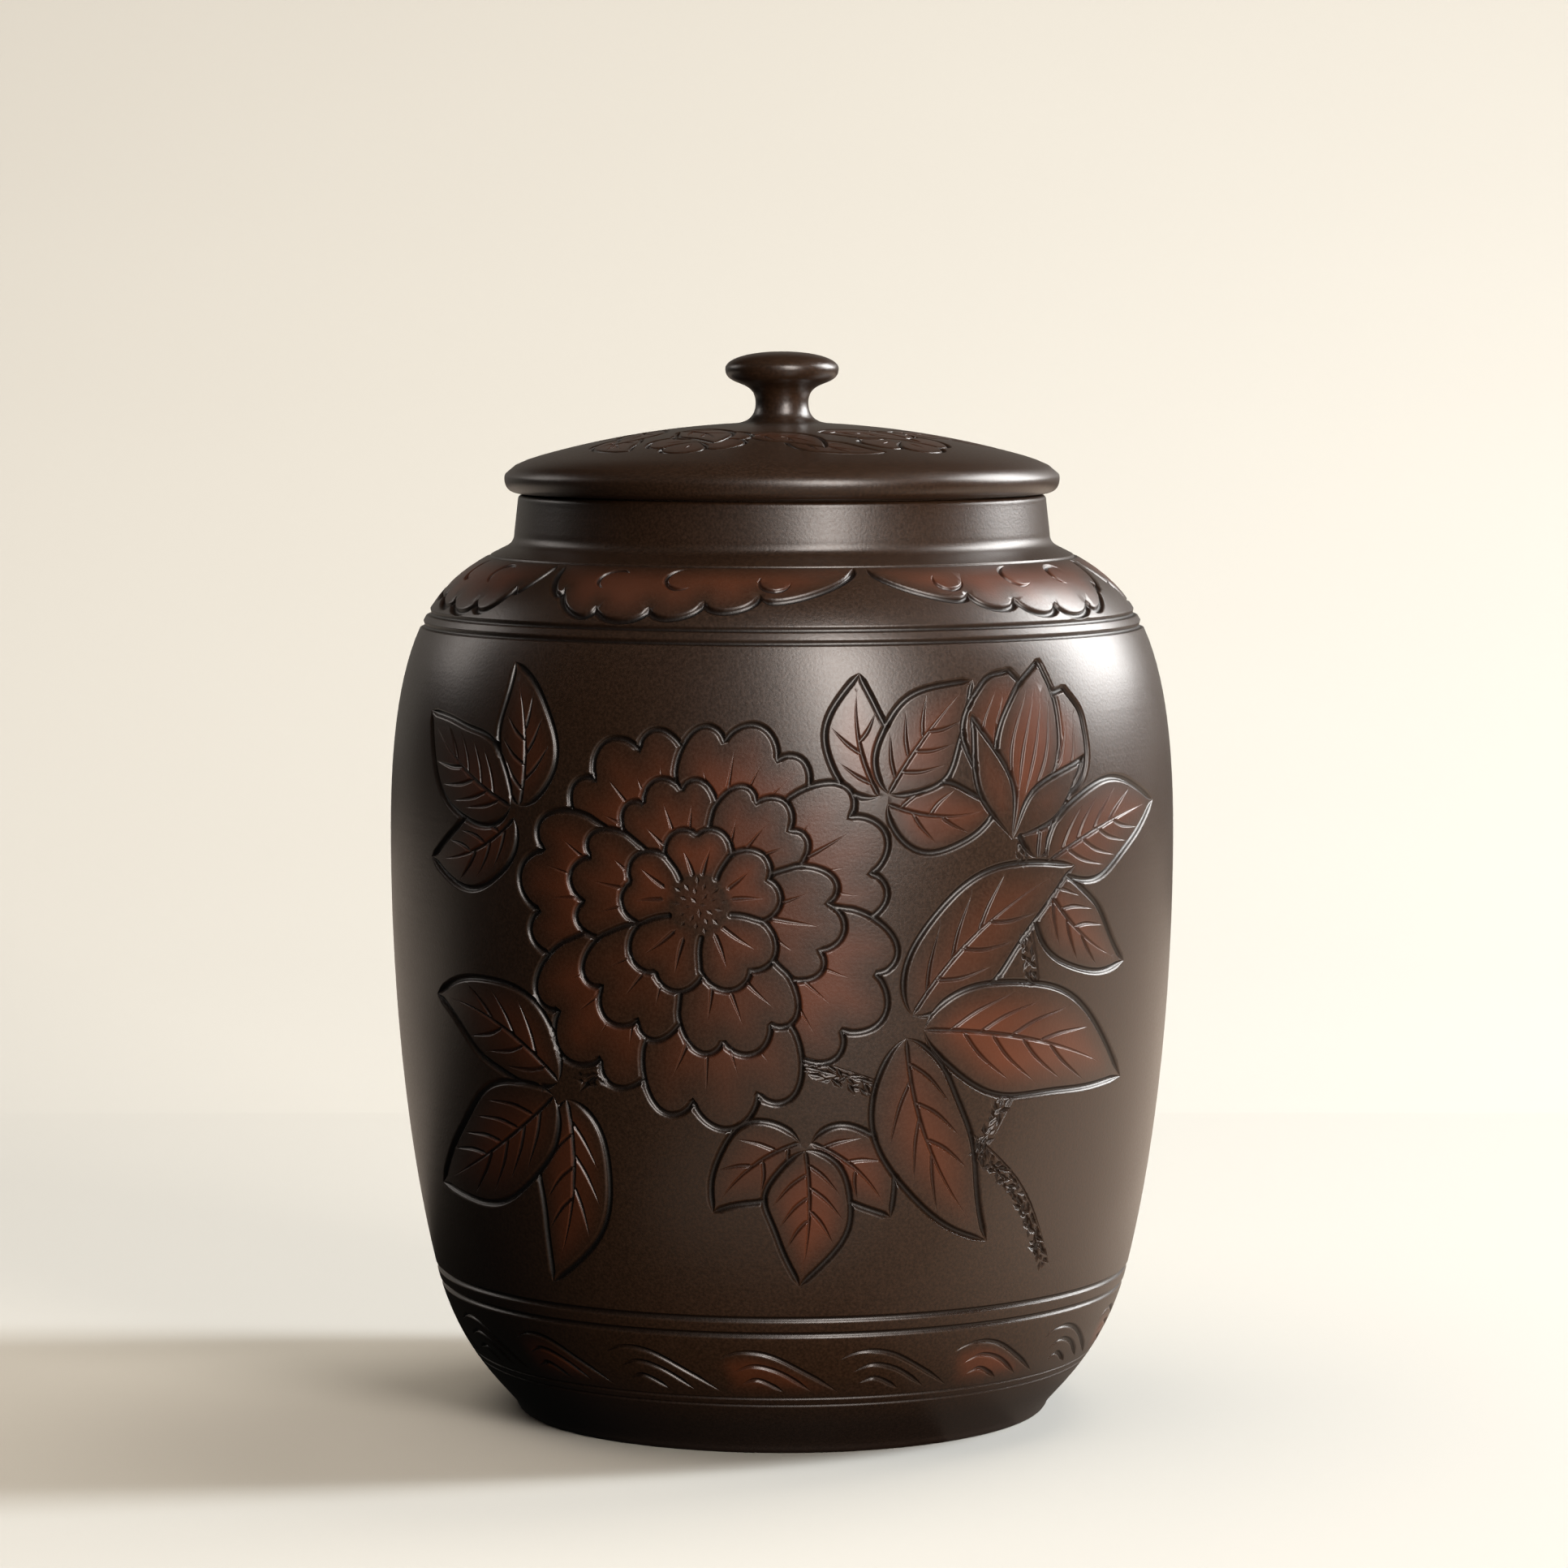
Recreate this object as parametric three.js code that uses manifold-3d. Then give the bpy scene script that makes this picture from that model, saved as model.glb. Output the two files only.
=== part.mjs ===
// Turned and carved stoneware storage jar with a loose domed lid and a mushroom knob.
// Millimetres, +Z up. The origin is the centre of the foot, on the surface that the jar stands on.
// The front faces -Y.
import * as THREE from "three";
import { mergeVertices } from "three/addons/utils/BufferGeometryUtils.js";
import Module from "manifold-3d";

const wasm = await Module();
wasm.setup();

// Height of the jar from its foot to its lip
const JAR_HEIGHT = 226;

// Foot ring, and the shallow recess inside it
const FOOT_RADIUS = 65.8;
const FOOT_EDGE = 0.6;
const FOOT_HEIGHT = 2;
const FOOT_DRAFT = 0.6;
const FOOT_RING_WIDTH = 9;
const RECESS_DEPTH = 2.5;
const RECESS_SLOPE = 4;

// Outside wall, as four stations joined by smooth curves: foot, hip, belly and neck root.
// A lean is measured from upright, and a pull is how far a curve holds on to its station's direction.
const FOOT_LEAN = 34.5;
const FOOT_PULL = 5;
const HIP_RISE = 34;
const HIP_RADIUS = 85.9;
const HIP_LEAN = 13.5;
const HIP_PULL_DOWN = 21.8;
const HIP_PULL_UP = 38.6;
const BELLY_RISE = 106;
const BELLY_RADIUS = 96.6;
const BELLY_PULL_DOWN = 26;
const BELLY_PULL_UP = 57.8;
const SHOULDER_LEAN = -64;
const SHOULDER_PULL = 18.2;

// Neck and its rounded lip
const NECK_RADIUS = 65.9;
const NECK_HEIGHT = 11.7;
const NECK_DRAFT = 0.9;
const NECK_FILLET = 2.2;
const NECK_WALL = 6;
const LIP_ROUND = 1.4;
const THROAT_ROUND = 2.5;

// Hollow inside
const WALL = 5.5;
const BASE_THICKNESS = 7;
const FLOOR_ROUND = 9;

// Turned lines, each cut as a shallow V round the wall
const LINE_WIDTH = 2.1;
const LINE_DEPTH = 1;
const FINE_LINE_WIDTH = 1.3;
const FINE_LINE_DEPTH = 0.6;
const NECK_LINE_WIDTH = 1.4;
const NECK_LINE_DEPTH = 0.5;
const NECK_LINE_DROP = 3.2;
const SHOULDER_LINES_DROP = 18.5;
const SHOULDER_LINES_SPACING = 3;
const HIP_LINES_DROP = 2.1;
const HIP_LINES_SPACING = 3.9;
const WAVE_LINES_RISE = 12.5;
const WAVE_LINES_SPACING = 1.9;

// Carving: V cuts along lines drawn flat. On the drawing, u runs round from the middle of the front
// and v up the wall from the belly, both in belly radii, so the drawing grows with the belly.
// Headings are in degrees from u towards v.
// A cut is as deep as this share of its half width.
const CUT_DEPTH_SHARE = 0.95;
const CUT_CLEARANCE = 1.3;
const SPRAY_CUT_HALF = 1.2;
const COLLAR_CUT_HALF = 1.3;
const WAVE_CUT_HALF = 0.95;

// Open flower: rings of petals, each with a reach as a share of the size, and a half spread in radians
const BLOOM_PLACE = [-0.2, -0.08];
const BLOOM_SIZE_SHARE = 0.5;
const BLOOM_TILT = 0.35;
const BLOOM_LEAN = 0.1;
const BLOOM_RINGS = [
  { count: 6, shift: 0.5, reach: 0.7, spread: 0.56 },
  { count: 7, shift: 0, reach: 1, spread: 0.52 },
];
const PETAL_ROUND = 0.2;
const PETAL_ROUND_POWER = 2.6;
const PETAL_FULLNESS = 0.96;
const PETAL_SPANS = [-0.9, -0.4, 0.4, 0.9];

// Bud: the edges of its folded petals, as shares of the size across and along its heading
const BUD_PLACE = [0.64, 0.22];
const BUD_HEADING = 72;
const BUD_SIZE_SHARE = 0.3;
const BUD_FOOT_SHARE = -0.5;
const BUD_WIDEST_SHARE = 0.1;
const BUD_CLOSING_SHARE = 0.6;
const BUD_CLOSED_SHARE = 0.25;
const BUD_EDGES = [
  { side: -0.3, middle: 0.02, tip: 0.95 },
  { side: 0.34, middle: 0.02, tip: 0.95 },
  { side: -0.62, middle: -0.285, tip: 0.8 },
  { side: 0.66, middle: 0.33, tip: 0.78 },
];

// Leaves: three pointed leaflets each
const LEAVES = [
  { place: [0.24, -0.36], heading: -14, length: 0.82, halfWidth: 0.14 },
  { place: [-0.52, -0.52], heading: 208, length: 0.68, halfWidth: 0.13 },
  { place: [0.06, -0.62], heading: 268, length: 0.4, halfWidth: 0.11 },
  { place: [0.62, -0.02], heading: 14, length: 0.58, halfWidth: 0.11 },
  { place: [0.22, 0.14], heading: 48, length: 0.42, halfWidth: 0.1 },
  { place: [-0.66, 0.1], heading: 150, length: 0.5, halfWidth: 0.11 },
];
const LEAFLETS = [
  { turn: 0, foot: 0.14, tipTurn: 0, reach: 1, width: 1, bend: 0.05 },
  { turn: 20, foot: 0.1, tipTurn: 46, reach: 0.8, width: 0.85, bend: 0.1 },
  { turn: -20, foot: 0.1, tipTurn: -46, reach: 0.8, width: 0.85, bend: -0.1 },
];
const LEAFLET_EDGE = [0.04, 0.3, 0.65, 1];
const LEAFLET_HIDDEN_EDGE = [0.45, 0.7, 1];
const LEAFLET_SWELL_POWER = 0.7;
const LEAFLET_TAPER_POWER = 1.1;
const LEAFLET_FULLEST_SHARE = 0.3;

// Main stem, and how much of it shows before it runs in behind the leaves
const STEM = [[0.78, -1], [0.62, -0.78], [0.34, -0.58], [0.04, -0.46]];
const STEM_SHARES = [0, 0.15, 0.3, 0.45];

// Collar of scalloped lappets hanging from the neck, in mirrored pairs
const COLLAR_COUNT = 6;
const COLLAR_SHIFT = 0.24;
const COLLAR_MARGIN = 3.5;
const COLLAR_CUSPS = [
  [0.02, 0.05], [0.1, 0.55], [0.24, 0.86], [0.4, 0.86], [0.55, 0.74], [0.7, 0.62], [0.98, 0.04],
];
const COLLAR_BULGES = [0.38, 0.4, 0.32, 0.32, 0.32, 0.4];
const COLLAR_STEPS = 2;

// Band of waves round the hip
const WAVE_COUNT = 18;
const WAVE_SHIFT = 0.45;
const WAVE_RISE = 1.6;
const WAVE_ARC = [[0, 0.1], [0.1, 0.122], [0.22, 0.084], [0.36, 0.005]];

// Lid: domed cover, overhanging rim and the flange that locates it inside the neck
const LID_SEAT_GAP = 0.3;
const RIM_OVERHANG = 3.3;
const RIM_HEIGHT = 3.8;
const RIM_UNDERCUT = 4;
const RIM_SHOULDER = 9.4;
const DOME_RISE = 17.4;
const DOME_RADIUS = 220;
const LID_WALL = 6;
const LID_INSIDE_ROUND = 3;
const FLANGE_CLEARANCE = 1.2;
const FLANGE_WALL = 4.5;
const FLANGE_DEPTH = 12;
const FLANGE_EDGE = 1;

// Knob, and the tenon that holds it in the lid's crown
const KNOB_SEAT_GAP = 0.3;
const KNOB_FOOT_RADIUS = 11.5;
const KNOB_FOOT_EDGE = 0.4;
const KNOB_WAIST_RADIUS = 6.5;
const KNOB_WAIST_RISE = 4.7;
const KNOB_CAP_RADIUS = 13.95;
const KNOB_CAP_RISE = 8.4;
const KNOB_CAP_HEIGHT = 4.2;
const KNOB_WAIST_PULL = 6.1;
const KNOB_EDGE_PULL_DOWN = 4.8;
const KNOB_EDGE_PULL_UP = 2.2;
const KNOB_CROWN_PULL = 9;
const TENON_RADIUS = 5;
const TENON_LENGTH = 3;
const TENON_EDGE = 0.5;
const SOCKET_CLEARANCE = 0.3;

// How finely the round forms are cut
const JAR_TURN_STEPS = 44;
const LID_TURN_STEPS = 40;
const KNOB_TURN_STEPS = 24;
const OUTSIDE_STEPS = [4, 5, 7];
const INSIDE_STEPS = [3, 3, 5];
const ROUND_STEPS = 3;
const SMALL_ROUND_STEPS = 2;
const DOME_STEPS = 5;
const KNOB_CURVE_STEPS = 6;
const CLOSE_ENOUGH = 1e-6;

// Heights and radii that follow from the sizes above
const hipHeight = FOOT_HEIGHT + HIP_RISE;
const bellyHeight = hipHeight + BELLY_RISE;
const neckRootHeight = JAR_HEIGHT - NECK_HEIGHT;
const lipHeight = JAR_HEIGHT;
const lipRadius = NECK_RADIUS - NECK_DRAFT;
const boreRadius = NECK_RADIUS - NECK_WALL;
const floorHeight = RECESS_DEPTH + BASE_THICKNESS;
const seatHeight = lipHeight + LID_SEAT_GAP;
const rimRadius = lipRadius + RIM_OVERHANG;
const crownHeight = seatHeight + DOME_RISE;
const landHeight = domeHeight(KNOB_FOOT_RADIUS);
const knobSeatHeight = landHeight + KNOB_SEAT_GAP;

// A point of a turned outline: distance from the axis, and height above the foot.
function at(radius, height) {
  return new THREE.Vector2(radius, height);
}

// The direction that climbs the wall with a given lean, in degrees from upright.
function climb(lean) {
  const angle = THREE.MathUtils.degToRad(lean);
  return at(Math.sin(angle), Math.cos(angle));
}

// A station of the wall, moved square to the wall and inwards by inset.
function station(radius, height, lean, inset) {
  const direction = climb(lean);
  const point = at(radius - inset * direction.y, height + inset * direction.x);
  return { point, direction };
}

function wallCurve(from, pullUp, to, pullDown) {
  const leave = from.point.clone().addScaledVector(from.direction, pullUp);
  const arrive = to.point.clone().addScaledVector(to.direction, -pullDown);
  return new THREE.CubicBezierCurve(from.point, leave, arrive, to.point);
}

// The three curves of the wall from foot to neck: inset 0 is the outside, WALL the inside.
function wallCurves(inset) {
  const foot = station(FOOT_RADIUS + FOOT_DRAFT, FOOT_HEIGHT, FOOT_LEAN, inset);
  const hip = station(HIP_RADIUS, hipHeight, HIP_LEAN, inset);
  const belly = station(BELLY_RADIUS, bellyHeight, 0, inset);
  const neckRoot = station(NECK_RADIUS, neckRootHeight, SHOULDER_LEAN, inset);
  return [
    wallCurve(foot, FOOT_PULL, hip, HIP_PULL_DOWN),
    wallCurve(hip, HIP_PULL_UP, belly, BELLY_PULL_DOWN),
    wallCurve(belly, BELLY_PULL_UP, neckRoot, SHOULDER_PULL),
  ];
}

function pointsAlong(curves, steps) {
  return curves.flatMap((curve, index) => curve.getPoints(steps[index]).slice(index > 0 ? 1 : 0));
}

// The share of a climbing curve at which it reaches a height, found by halving.
function shareAt(curve, height) {
  let low = 0;
  let high = 1;
  while (high - low > CLOSE_ENOUGH) {
    const middle = (low + high) / 2;
    if (curve.getPoint(middle).y < height) {
      low = middle;
    } else {
      high = middle;
    }
  }
  return low;
}

// The wall's radius at a height.
function wallRadius(curves, height) {
  const curve = curves.find((one) => one.v3.y >= height) ?? curves.at(-1);
  return curve.getPoint(shareAt(curve, height)).x;
}

// A round corner from one point to another, bulging towards the corner point.
function rounded(from, corner, to, steps = ROUND_STEPS) {
  return new THREE.QuadraticBezierCurve(from, corner, to).getPoints(steps);
}

// Two lines side by side, centred on a height.
function linePair(height, spacing, width, depth) {
  return [-0.5, 0.5].map((side) => ({ height: height + side * spacing, width, depth }));
}

const waveLines = linePair(
  FOOT_HEIGHT + WAVE_LINES_RISE,
  WAVE_LINES_SPACING,
  FINE_LINE_WIDTH,
  FINE_LINE_DEPTH,
);
const hipLines = linePair(hipHeight - HIP_LINES_DROP, HIP_LINES_SPACING, LINE_WIDTH, LINE_DEPTH);
const shoulderLines = linePair(
  neckRootHeight - SHOULDER_LINES_DROP,
  SHOULDER_LINES_SPACING,
  LINE_WIDTH,
  LINE_DEPTH,
);
const neckLine = {
  height: neckRootHeight - NECK_LINE_DROP,
  width: NECK_LINE_WIDTH,
  depth: NECK_LINE_DEPTH,
};
const turnedLines = [...waveLines, ...hipLines, ...shoulderLines, neckLine];

// The outside wall from the foot to the start of the neck's fillet, with the turned lines cut in.
function outsideWall() {
  const curves = wallCurves(0);
  const neckRoot = at(NECK_RADIUS, neckRootHeight);
  const plain = pointsAlong(curves, OUTSIDE_STEPS).filter(
    (point) =>
      point.distanceTo(neckRoot) > 2 * NECK_FILLET &&
      turnedLines.every((line) => Math.abs(point.y - line.height) > line.width),
  );
  const cuts = turnedLines.flatMap(({ height, width, depth }) =>
    [-0.5, 0, 0.5].map((side) => {
      const cutHeight = height + side * width;
      const cutDepth = side === 0 ? depth : 0;
      return at(wallRadius(curves, cutHeight) - cutDepth, cutHeight);
    }),
  );
  return [...plain, ...cuts].sort((a, b) => a.y - b.y);
}

// The inside wall from the throat under the neck down to the rounded edge of the floor.
function insideWall() {
  const lowest = floorHeight + FLOOR_ROUND / 2;
  return pointsAlong(wallCurves(WALL), INSIDE_STEPS)
    .filter((point) => point.y > lowest)
    .reverse();
}

function jarOutline() {
  const recessRadius = FOOT_RADIUS - FOOT_RING_WIDTH;
  const neckRoot = at(NECK_RADIUS, neckRootHeight);
  const filletStart = neckRoot.clone().addScaledVector(climb(SHOULDER_LEAN), -NECK_FILLET);
  const inside = insideWall();
  const throat = inside[0];
  const throatRise = (throat.x - boreRadius) / Math.tan(THREE.MathUtils.degToRad(-SHOULDER_LEAN));
  const throatCorner = at(boreRadius, throat.y + throatRise);
  const lowestInside = inside.at(-1);
  const floorCorner = at(wallRadius(wallCurves(WALL), floorHeight), floorHeight);
  return [
    at(0, RECESS_DEPTH),
    at(recessRadius - RECESS_SLOPE, RECESS_DEPTH),
    at(recessRadius, 0),
    at(FOOT_RADIUS - FOOT_EDGE, 0),
    at(FOOT_RADIUS, FOOT_EDGE),
    ...outsideWall(),
    ...rounded(filletStart, neckRoot, at(NECK_RADIUS, neckRootHeight + NECK_FILLET), SMALL_ROUND_STEPS),
    ...rounded(
      at(lipRadius, lipHeight - LIP_ROUND),
      at(lipRadius, lipHeight),
      at(lipRadius - LIP_ROUND, lipHeight),
      SMALL_ROUND_STEPS,
    ),
    ...rounded(
      at(boreRadius + LIP_ROUND, lipHeight),
      at(boreRadius, lipHeight),
      at(boreRadius, lipHeight - LIP_ROUND),
      SMALL_ROUND_STEPS,
    ),
    ...rounded(at(boreRadius, throatCorner.y + THROAT_ROUND), throatCorner, throat, SMALL_ROUND_STEPS),
    ...inside.slice(1, -1),
    ...rounded(lowestInside, floorCorner, at(floorCorner.x - FLOOR_ROUND, floorHeight)),
    at(0, floorHeight),
  ];
}

// The height of the lid's spherical dome at a distance from the axis, and of a surface below it.
function domeHeight(radius, inset = 0) {
  const sphere = DOME_RADIUS - inset;
  return crownHeight - DOME_RADIUS + Math.sqrt(sphere * sphere - radius * radius);
}

function lidOutline() {
  const flangeRadius = boreRadius - FLANGE_CLEARANCE;
  const flangeInside = flangeRadius - FLANGE_WALL;
  const flangeFoot = seatHeight - FLANGE_DEPTH;
  const hollowEdge = flangeInside - LID_INSIDE_ROUND;
  const rimHeight = seatHeight + RIM_HEIGHT;
  const seatEdge = rimRadius - RIM_UNDERCUT;
  const domeEdge = rimRadius - RIM_SHOULDER;
  const domeSlope = domeEdge / (domeHeight(domeEdge) - crownHeight + DOME_RADIUS);
  const shoulderCorner = at(rimRadius, domeHeight(domeEdge) - domeSlope * RIM_SHOULDER);
  const socketRadius = TENON_RADIUS + SOCKET_CLEARANCE;
  const socketFloor = knobSeatHeight - TENON_LENGTH - SOCKET_CLEARANCE;
  const underDome = [];
  const overDome = [];
  for (let step = 0; step < DOME_STEPS; step += 1) {
    const share = step / DOME_STEPS;
    const under = share * hollowEdge;
    const over = THREE.MathUtils.lerp(domeEdge, KNOB_FOOT_RADIUS, share);
    underDome.push(at(under, domeHeight(under, LID_WALL)));
    overDome.push(at(over, domeHeight(over)));
  }
  return [
    ...underDome,
    ...rounded(
      at(hollowEdge, domeHeight(hollowEdge, LID_WALL)),
      at(flangeInside, domeHeight(flangeInside, LID_WALL)),
      at(flangeInside, domeHeight(flangeInside, LID_WALL) - LID_INSIDE_ROUND),
    ),
    at(flangeInside, flangeFoot + FLANGE_EDGE),
    at(flangeInside + FLANGE_EDGE, flangeFoot),
    at(flangeRadius - FLANGE_EDGE, flangeFoot),
    at(flangeRadius, flangeFoot + FLANGE_EDGE),
    at(flangeRadius, seatHeight),
    ...rounded(at(seatEdge, seatHeight), at(rimRadius, seatHeight), at(rimRadius, rimHeight)),
    ...rounded(at(rimRadius, rimHeight), shoulderCorner, overDome[0]).slice(1),
    ...overDome.slice(1),
    at(KNOB_FOOT_RADIUS, landHeight),
    at(socketRadius, landHeight),
    at(socketRadius, socketFloor),
    at(0, socketFloor),
  ];
}

function knobOutline() {
  const waist = at(KNOB_WAIST_RADIUS, knobSeatHeight + KNOB_WAIST_RISE);
  const capEdge = at(KNOB_CAP_RADIUS, waist.y + KNOB_CAP_RISE);
  const capTop = at(0, capEdge.y + KNOB_CAP_HEIGHT);
  const footEdge = at(KNOB_FOOT_RADIUS, knobSeatHeight + KNOB_FOOT_EDGE);
  const flare = new THREE.QuadraticBezierCurve(footEdge, at(KNOB_WAIST_RADIUS, footEdge.y), waist);
  const underCap = new THREE.CubicBezierCurve(
    waist,
    at(waist.x, waist.y + KNOB_WAIST_PULL),
    at(capEdge.x, capEdge.y - KNOB_EDGE_PULL_DOWN),
    capEdge,
  );
  const overCap = new THREE.CubicBezierCurve(
    capEdge,
    at(capEdge.x, capEdge.y + KNOB_EDGE_PULL_UP),
    at(KNOB_CROWN_PULL, capTop.y),
    capTop,
  );
  const tenonFoot = knobSeatHeight - TENON_LENGTH;
  return [
    at(0, tenonFoot),
    at(TENON_RADIUS - TENON_EDGE, tenonFoot),
    at(TENON_RADIUS, tenonFoot + TENON_EDGE),
    at(TENON_RADIUS, knobSeatHeight),
    at(KNOB_FOOT_RADIUS, knobSeatHeight),
    ...flare.getPoints(KNOB_CURVE_STEPS),
    ...underCap.getPoints(KNOB_CURVE_STEPS).slice(1),
    ...overCap.getPoints(KNOB_CURVE_STEPS).slice(1),
  ];
}

// The outside wall as one path, and how far along it the belly is.
const wallPath = new THREE.CurvePath();
wallPath.curves = wallCurves(0);
const wallLength = wallPath.getLength();
const bellyAlong = wallPath.getCurveLengths()[1];

// The drawing's v at a height of the wall.
function drawnHeight(height) {
  return (shareAt(wallPath, height) * wallLength - bellyAlong) / BELLY_RADIUS;
}

// The point of the wall under a place of the drawing, and the way that the wall faces there.
function onWall(place) {
  const share = (bellyAlong + place.y * BELLY_RADIUS) / wallLength;
  const { x: radius, y: height } = wallPath.getPoint(share);
  const run = wallPath.getTangent(share);
  const round = new THREE.Vector3(Math.sin(place.x), -Math.cos(place.x), 0);
  const point = round.clone().multiplyScalar(radius).setZ(height);
  const outward = round.multiplyScalar(run.y).setZ(-run.x);
  return { point, outward };
}

// A place on the drawing at a distance and heading, in radians, from another.
function away([u, v], heading, distance) {
  return at(u + Math.cos(heading) * distance, v + Math.sin(heading) * distance);
}

// How far a petal's edge reaches at a share of its half spread.
function petalReach(span) {
  return 1 - PETAL_ROUND * Math.abs(span) ** PETAL_ROUND_POWER;
}

function bloomLines() {
  return BLOOM_RINGS.flatMap(({ count, shift, reach, spread }) =>
    Array.from({ length: count }, (_, index) => {
      const heading = BLOOM_TILT + ((index + shift) / count) * 2 * Math.PI;
      const size = BLOOM_SIZE_SHARE * (1 - BLOOM_LEAN * Math.sin(heading)) * reach * PETAL_FULLNESS;
      return PETAL_SPANS.map((span) =>
        away(BLOOM_PLACE, heading + spread * span, size * petalReach(span)),
      );
    }),
  );
}

function budLines() {
  const turn = THREE.MathUtils.degToRad(BUD_HEADING);
  const origin = at(0, 0);
  return BUD_EDGES.map(({ side, middle, tip }) => {
    const closing = THREE.MathUtils.lerp(side, middle, BUD_CLOSED_SHARE);
    const edge = [
      at(BUD_FOOT_SHARE, 0),
      at(BUD_WIDEST_SHARE, side),
      at(BUD_CLOSING_SHARE, closing),
      at(tip, middle),
    ];
    return edge.map((point) => {
      const turned = point.rotateAround(origin, turn);
      return turned.multiplyScalar(BUD_SIZE_SHARE).add(at(...BUD_PLACE));
    });
  });
}

// The two edges of a leaflet. The edge that lies behind the middle leaflet starts further up.
function leafletLines({ place, heading, length, halfWidth }, { turn, foot, tipTurn, reach, width, bend }) {
  const base = away(place, THREE.MathUtils.degToRad(heading + turn), foot * length);
  const tip = away(place, THREE.MathUtils.degToRad(heading + tipTurn), reach * length);
  const way = tip.clone().sub(base);
  const middle = base.clone().addScaledVector(way, 0.5).addScaledVector(at(-way.y, way.x), 2 * bend);
  const rib = new THREE.QuadraticBezierCurve(base, middle, tip);
  return [1, -1].map((side) => {
    const shares = side * turn < 0 ? LEAFLET_HIDDEN_EDGE : LEAFLET_EDGE;
    return shares.map((share) => {
      const run = rib.getTangent(share);
      const swell = share ** LEAFLET_SWELL_POWER * (1 - share) ** LEAFLET_TAPER_POWER;
      const half = (halfWidth * width * swell) / LEAFLET_FULLEST_SHARE;
      return rib.getPoint(share).addScaledVector(at(-run.y, run.x), side * half);
    });
  });
}

function stemLine() {
  const stem = new THREE.SplineCurve(STEM.map((place) => at(...place)));
  return STEM_SHARES.map((share) => stem.getPoint(share));
}

function sprayLines() {
  return [
    ...bloomLines(),
    ...budLines(),
    ...LEAVES.flatMap((leaf) => LEAFLETS.flatMap((leaflet) => leafletLines(leaf, leaflet))),
    stemLine(),
  ];
}

function collarLines() {
  const top = drawnHeight(neckLine.height);
  const drop = top - drawnHeight(shoulderLines[1].height) - COLLAR_MARGIN / BELLY_RADIUS;
  const pitch = (2 * Math.PI) / COLLAR_COUNT;
  const lines = [];
  for (let lappet = 0; lappet < COLLAR_COUNT; lappet += 1) {
    const start = (lappet - COLLAR_COUNT / 2 + COLLAR_SHIFT) * pitch;
    const mirrored = lappet % 2 === 1;
    const cusps = COLLAR_CUSPS.map(([share, depth]) =>
      at(start + pitch * (mirrored ? 1 - share : share), top - depth * drop),
    );
    COLLAR_BULGES.forEach((bulge, index) => {
      const [first, last] = [cusps[index], cusps[index + 1]];
      const pull = at(0, -bulge * drop);
      const leave = first.clone().add(pull);
      const arrive = last.clone().add(pull);
      lines.push(new THREE.CubicBezierCurve(first, leave, arrive, last).getPoints(COLLAR_STEPS));
    });
  }
  return lines;
}

function waveBandLines() {
  const low = drawnHeight(waveLines[1].height) + WAVE_RISE / BELLY_RADIUS;
  const pitch = (2 * Math.PI) / WAVE_COUNT;
  return Array.from({ length: WAVE_COUNT }, (_, index) => {
    const start = (index - WAVE_COUNT / 2 + WAVE_SHIFT) * pitch;
    return WAVE_ARC.map(([u, v]) => at(start + u, low + v));
  });
}

// The clay that all the cuts take away: a spray on the front, its mirror image on the back, and two bands.
function carvedCuts() {
  const front = sprayLines();
  const back = front.map((line) => line.map((place) => at(Math.PI - place.x, place.y)));
  return [
    ...[...front, ...back].map((line) => cutAlong(line, SPRAY_CUT_HALF)),
    ...collarLines().map((line) => cutAlong(line, COLLAR_CUT_HALF)),
    ...waveBandLines().map((line) => cutAlong(line, WAVE_CUT_HALF)),
  ];
}

function solidFrom(positions, corners) {
  const vertProperties = new Float32Array(positions);
  const triVerts = new Uint32Array(corners);
  return new wasm.Manifold(new wasm.Mesh({ numProp: 3, vertProperties, triVerts }));
}

// The clay that one cut takes away: a V along a line, which rises to the surface at both ends.
function cutAlong(line, half) {
  const places = line.map(onWall);
  const last = places.length - 1;
  const positions = places.flatMap(({ point, outward }, index) => {
    const depth = index === 0 || index === last ? 0 : half * CUT_DEPTH_SHARE;
    const spread = (depth + CUT_CLEARANCE) / CUT_DEPTH_SHARE;
    const before = places[Math.max(index - 1, 0)].point;
    const after = places[Math.min(index + 1, last)].point;
    const across = after.clone().sub(before).cross(outward).normalize();
    const above = point.clone().addScaledVector(outward, CUT_CLEARANCE);
    const left = above.clone().addScaledVector(across, -spread);
    const bottom = point.clone().addScaledVector(outward, -depth);
    const right = above.addScaledVector(across, spread);
    return [...left, ...bottom, ...right];
  });
  const end = 3 * last;
  const corners = [0, 1, 2, end + 2, end + 1, end];
  for (let ring = 0; ring < end; ring += 3) {
    for (let edge = 0; edge < 3; edge += 1) {
      const next = (edge + 1) % 3;
      corners.push(ring + edge, ring + 3 + edge, ring + next);
      corners.push(ring + next, ring + 3 + edge, ring + 3 + next);
    }
  }
  return solidFrom(positions, corners);
}

// Turns an outline round the upright axis. It runs out along the underside and back along the top.
function turnedGeometry(outline, steps) {
  return new THREE.LatheGeometry(outline, steps).rotateX(Math.PI / 2);
}

// A turned form as a solid, without the triangles that close to a line at the axis.
function turnedSolid(outline, steps) {
  const turned = turnedGeometry(outline, steps);
  turned.deleteAttribute("normal");
  turned.deleteAttribute("uv");
  const merged = mergeVertices(turned);
  const index = merged.getIndex().array;
  const corners = [];
  for (let first = 0; first < index.length; first += 3) {
    const [a, b, c] = index.slice(first, first + 3);
    if (a !== b && b !== c && c !== a) {
      corners.push(a, b, c);
    }
  }
  return solidFrom(merged.getAttribute("position").array, corners);
}

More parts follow.
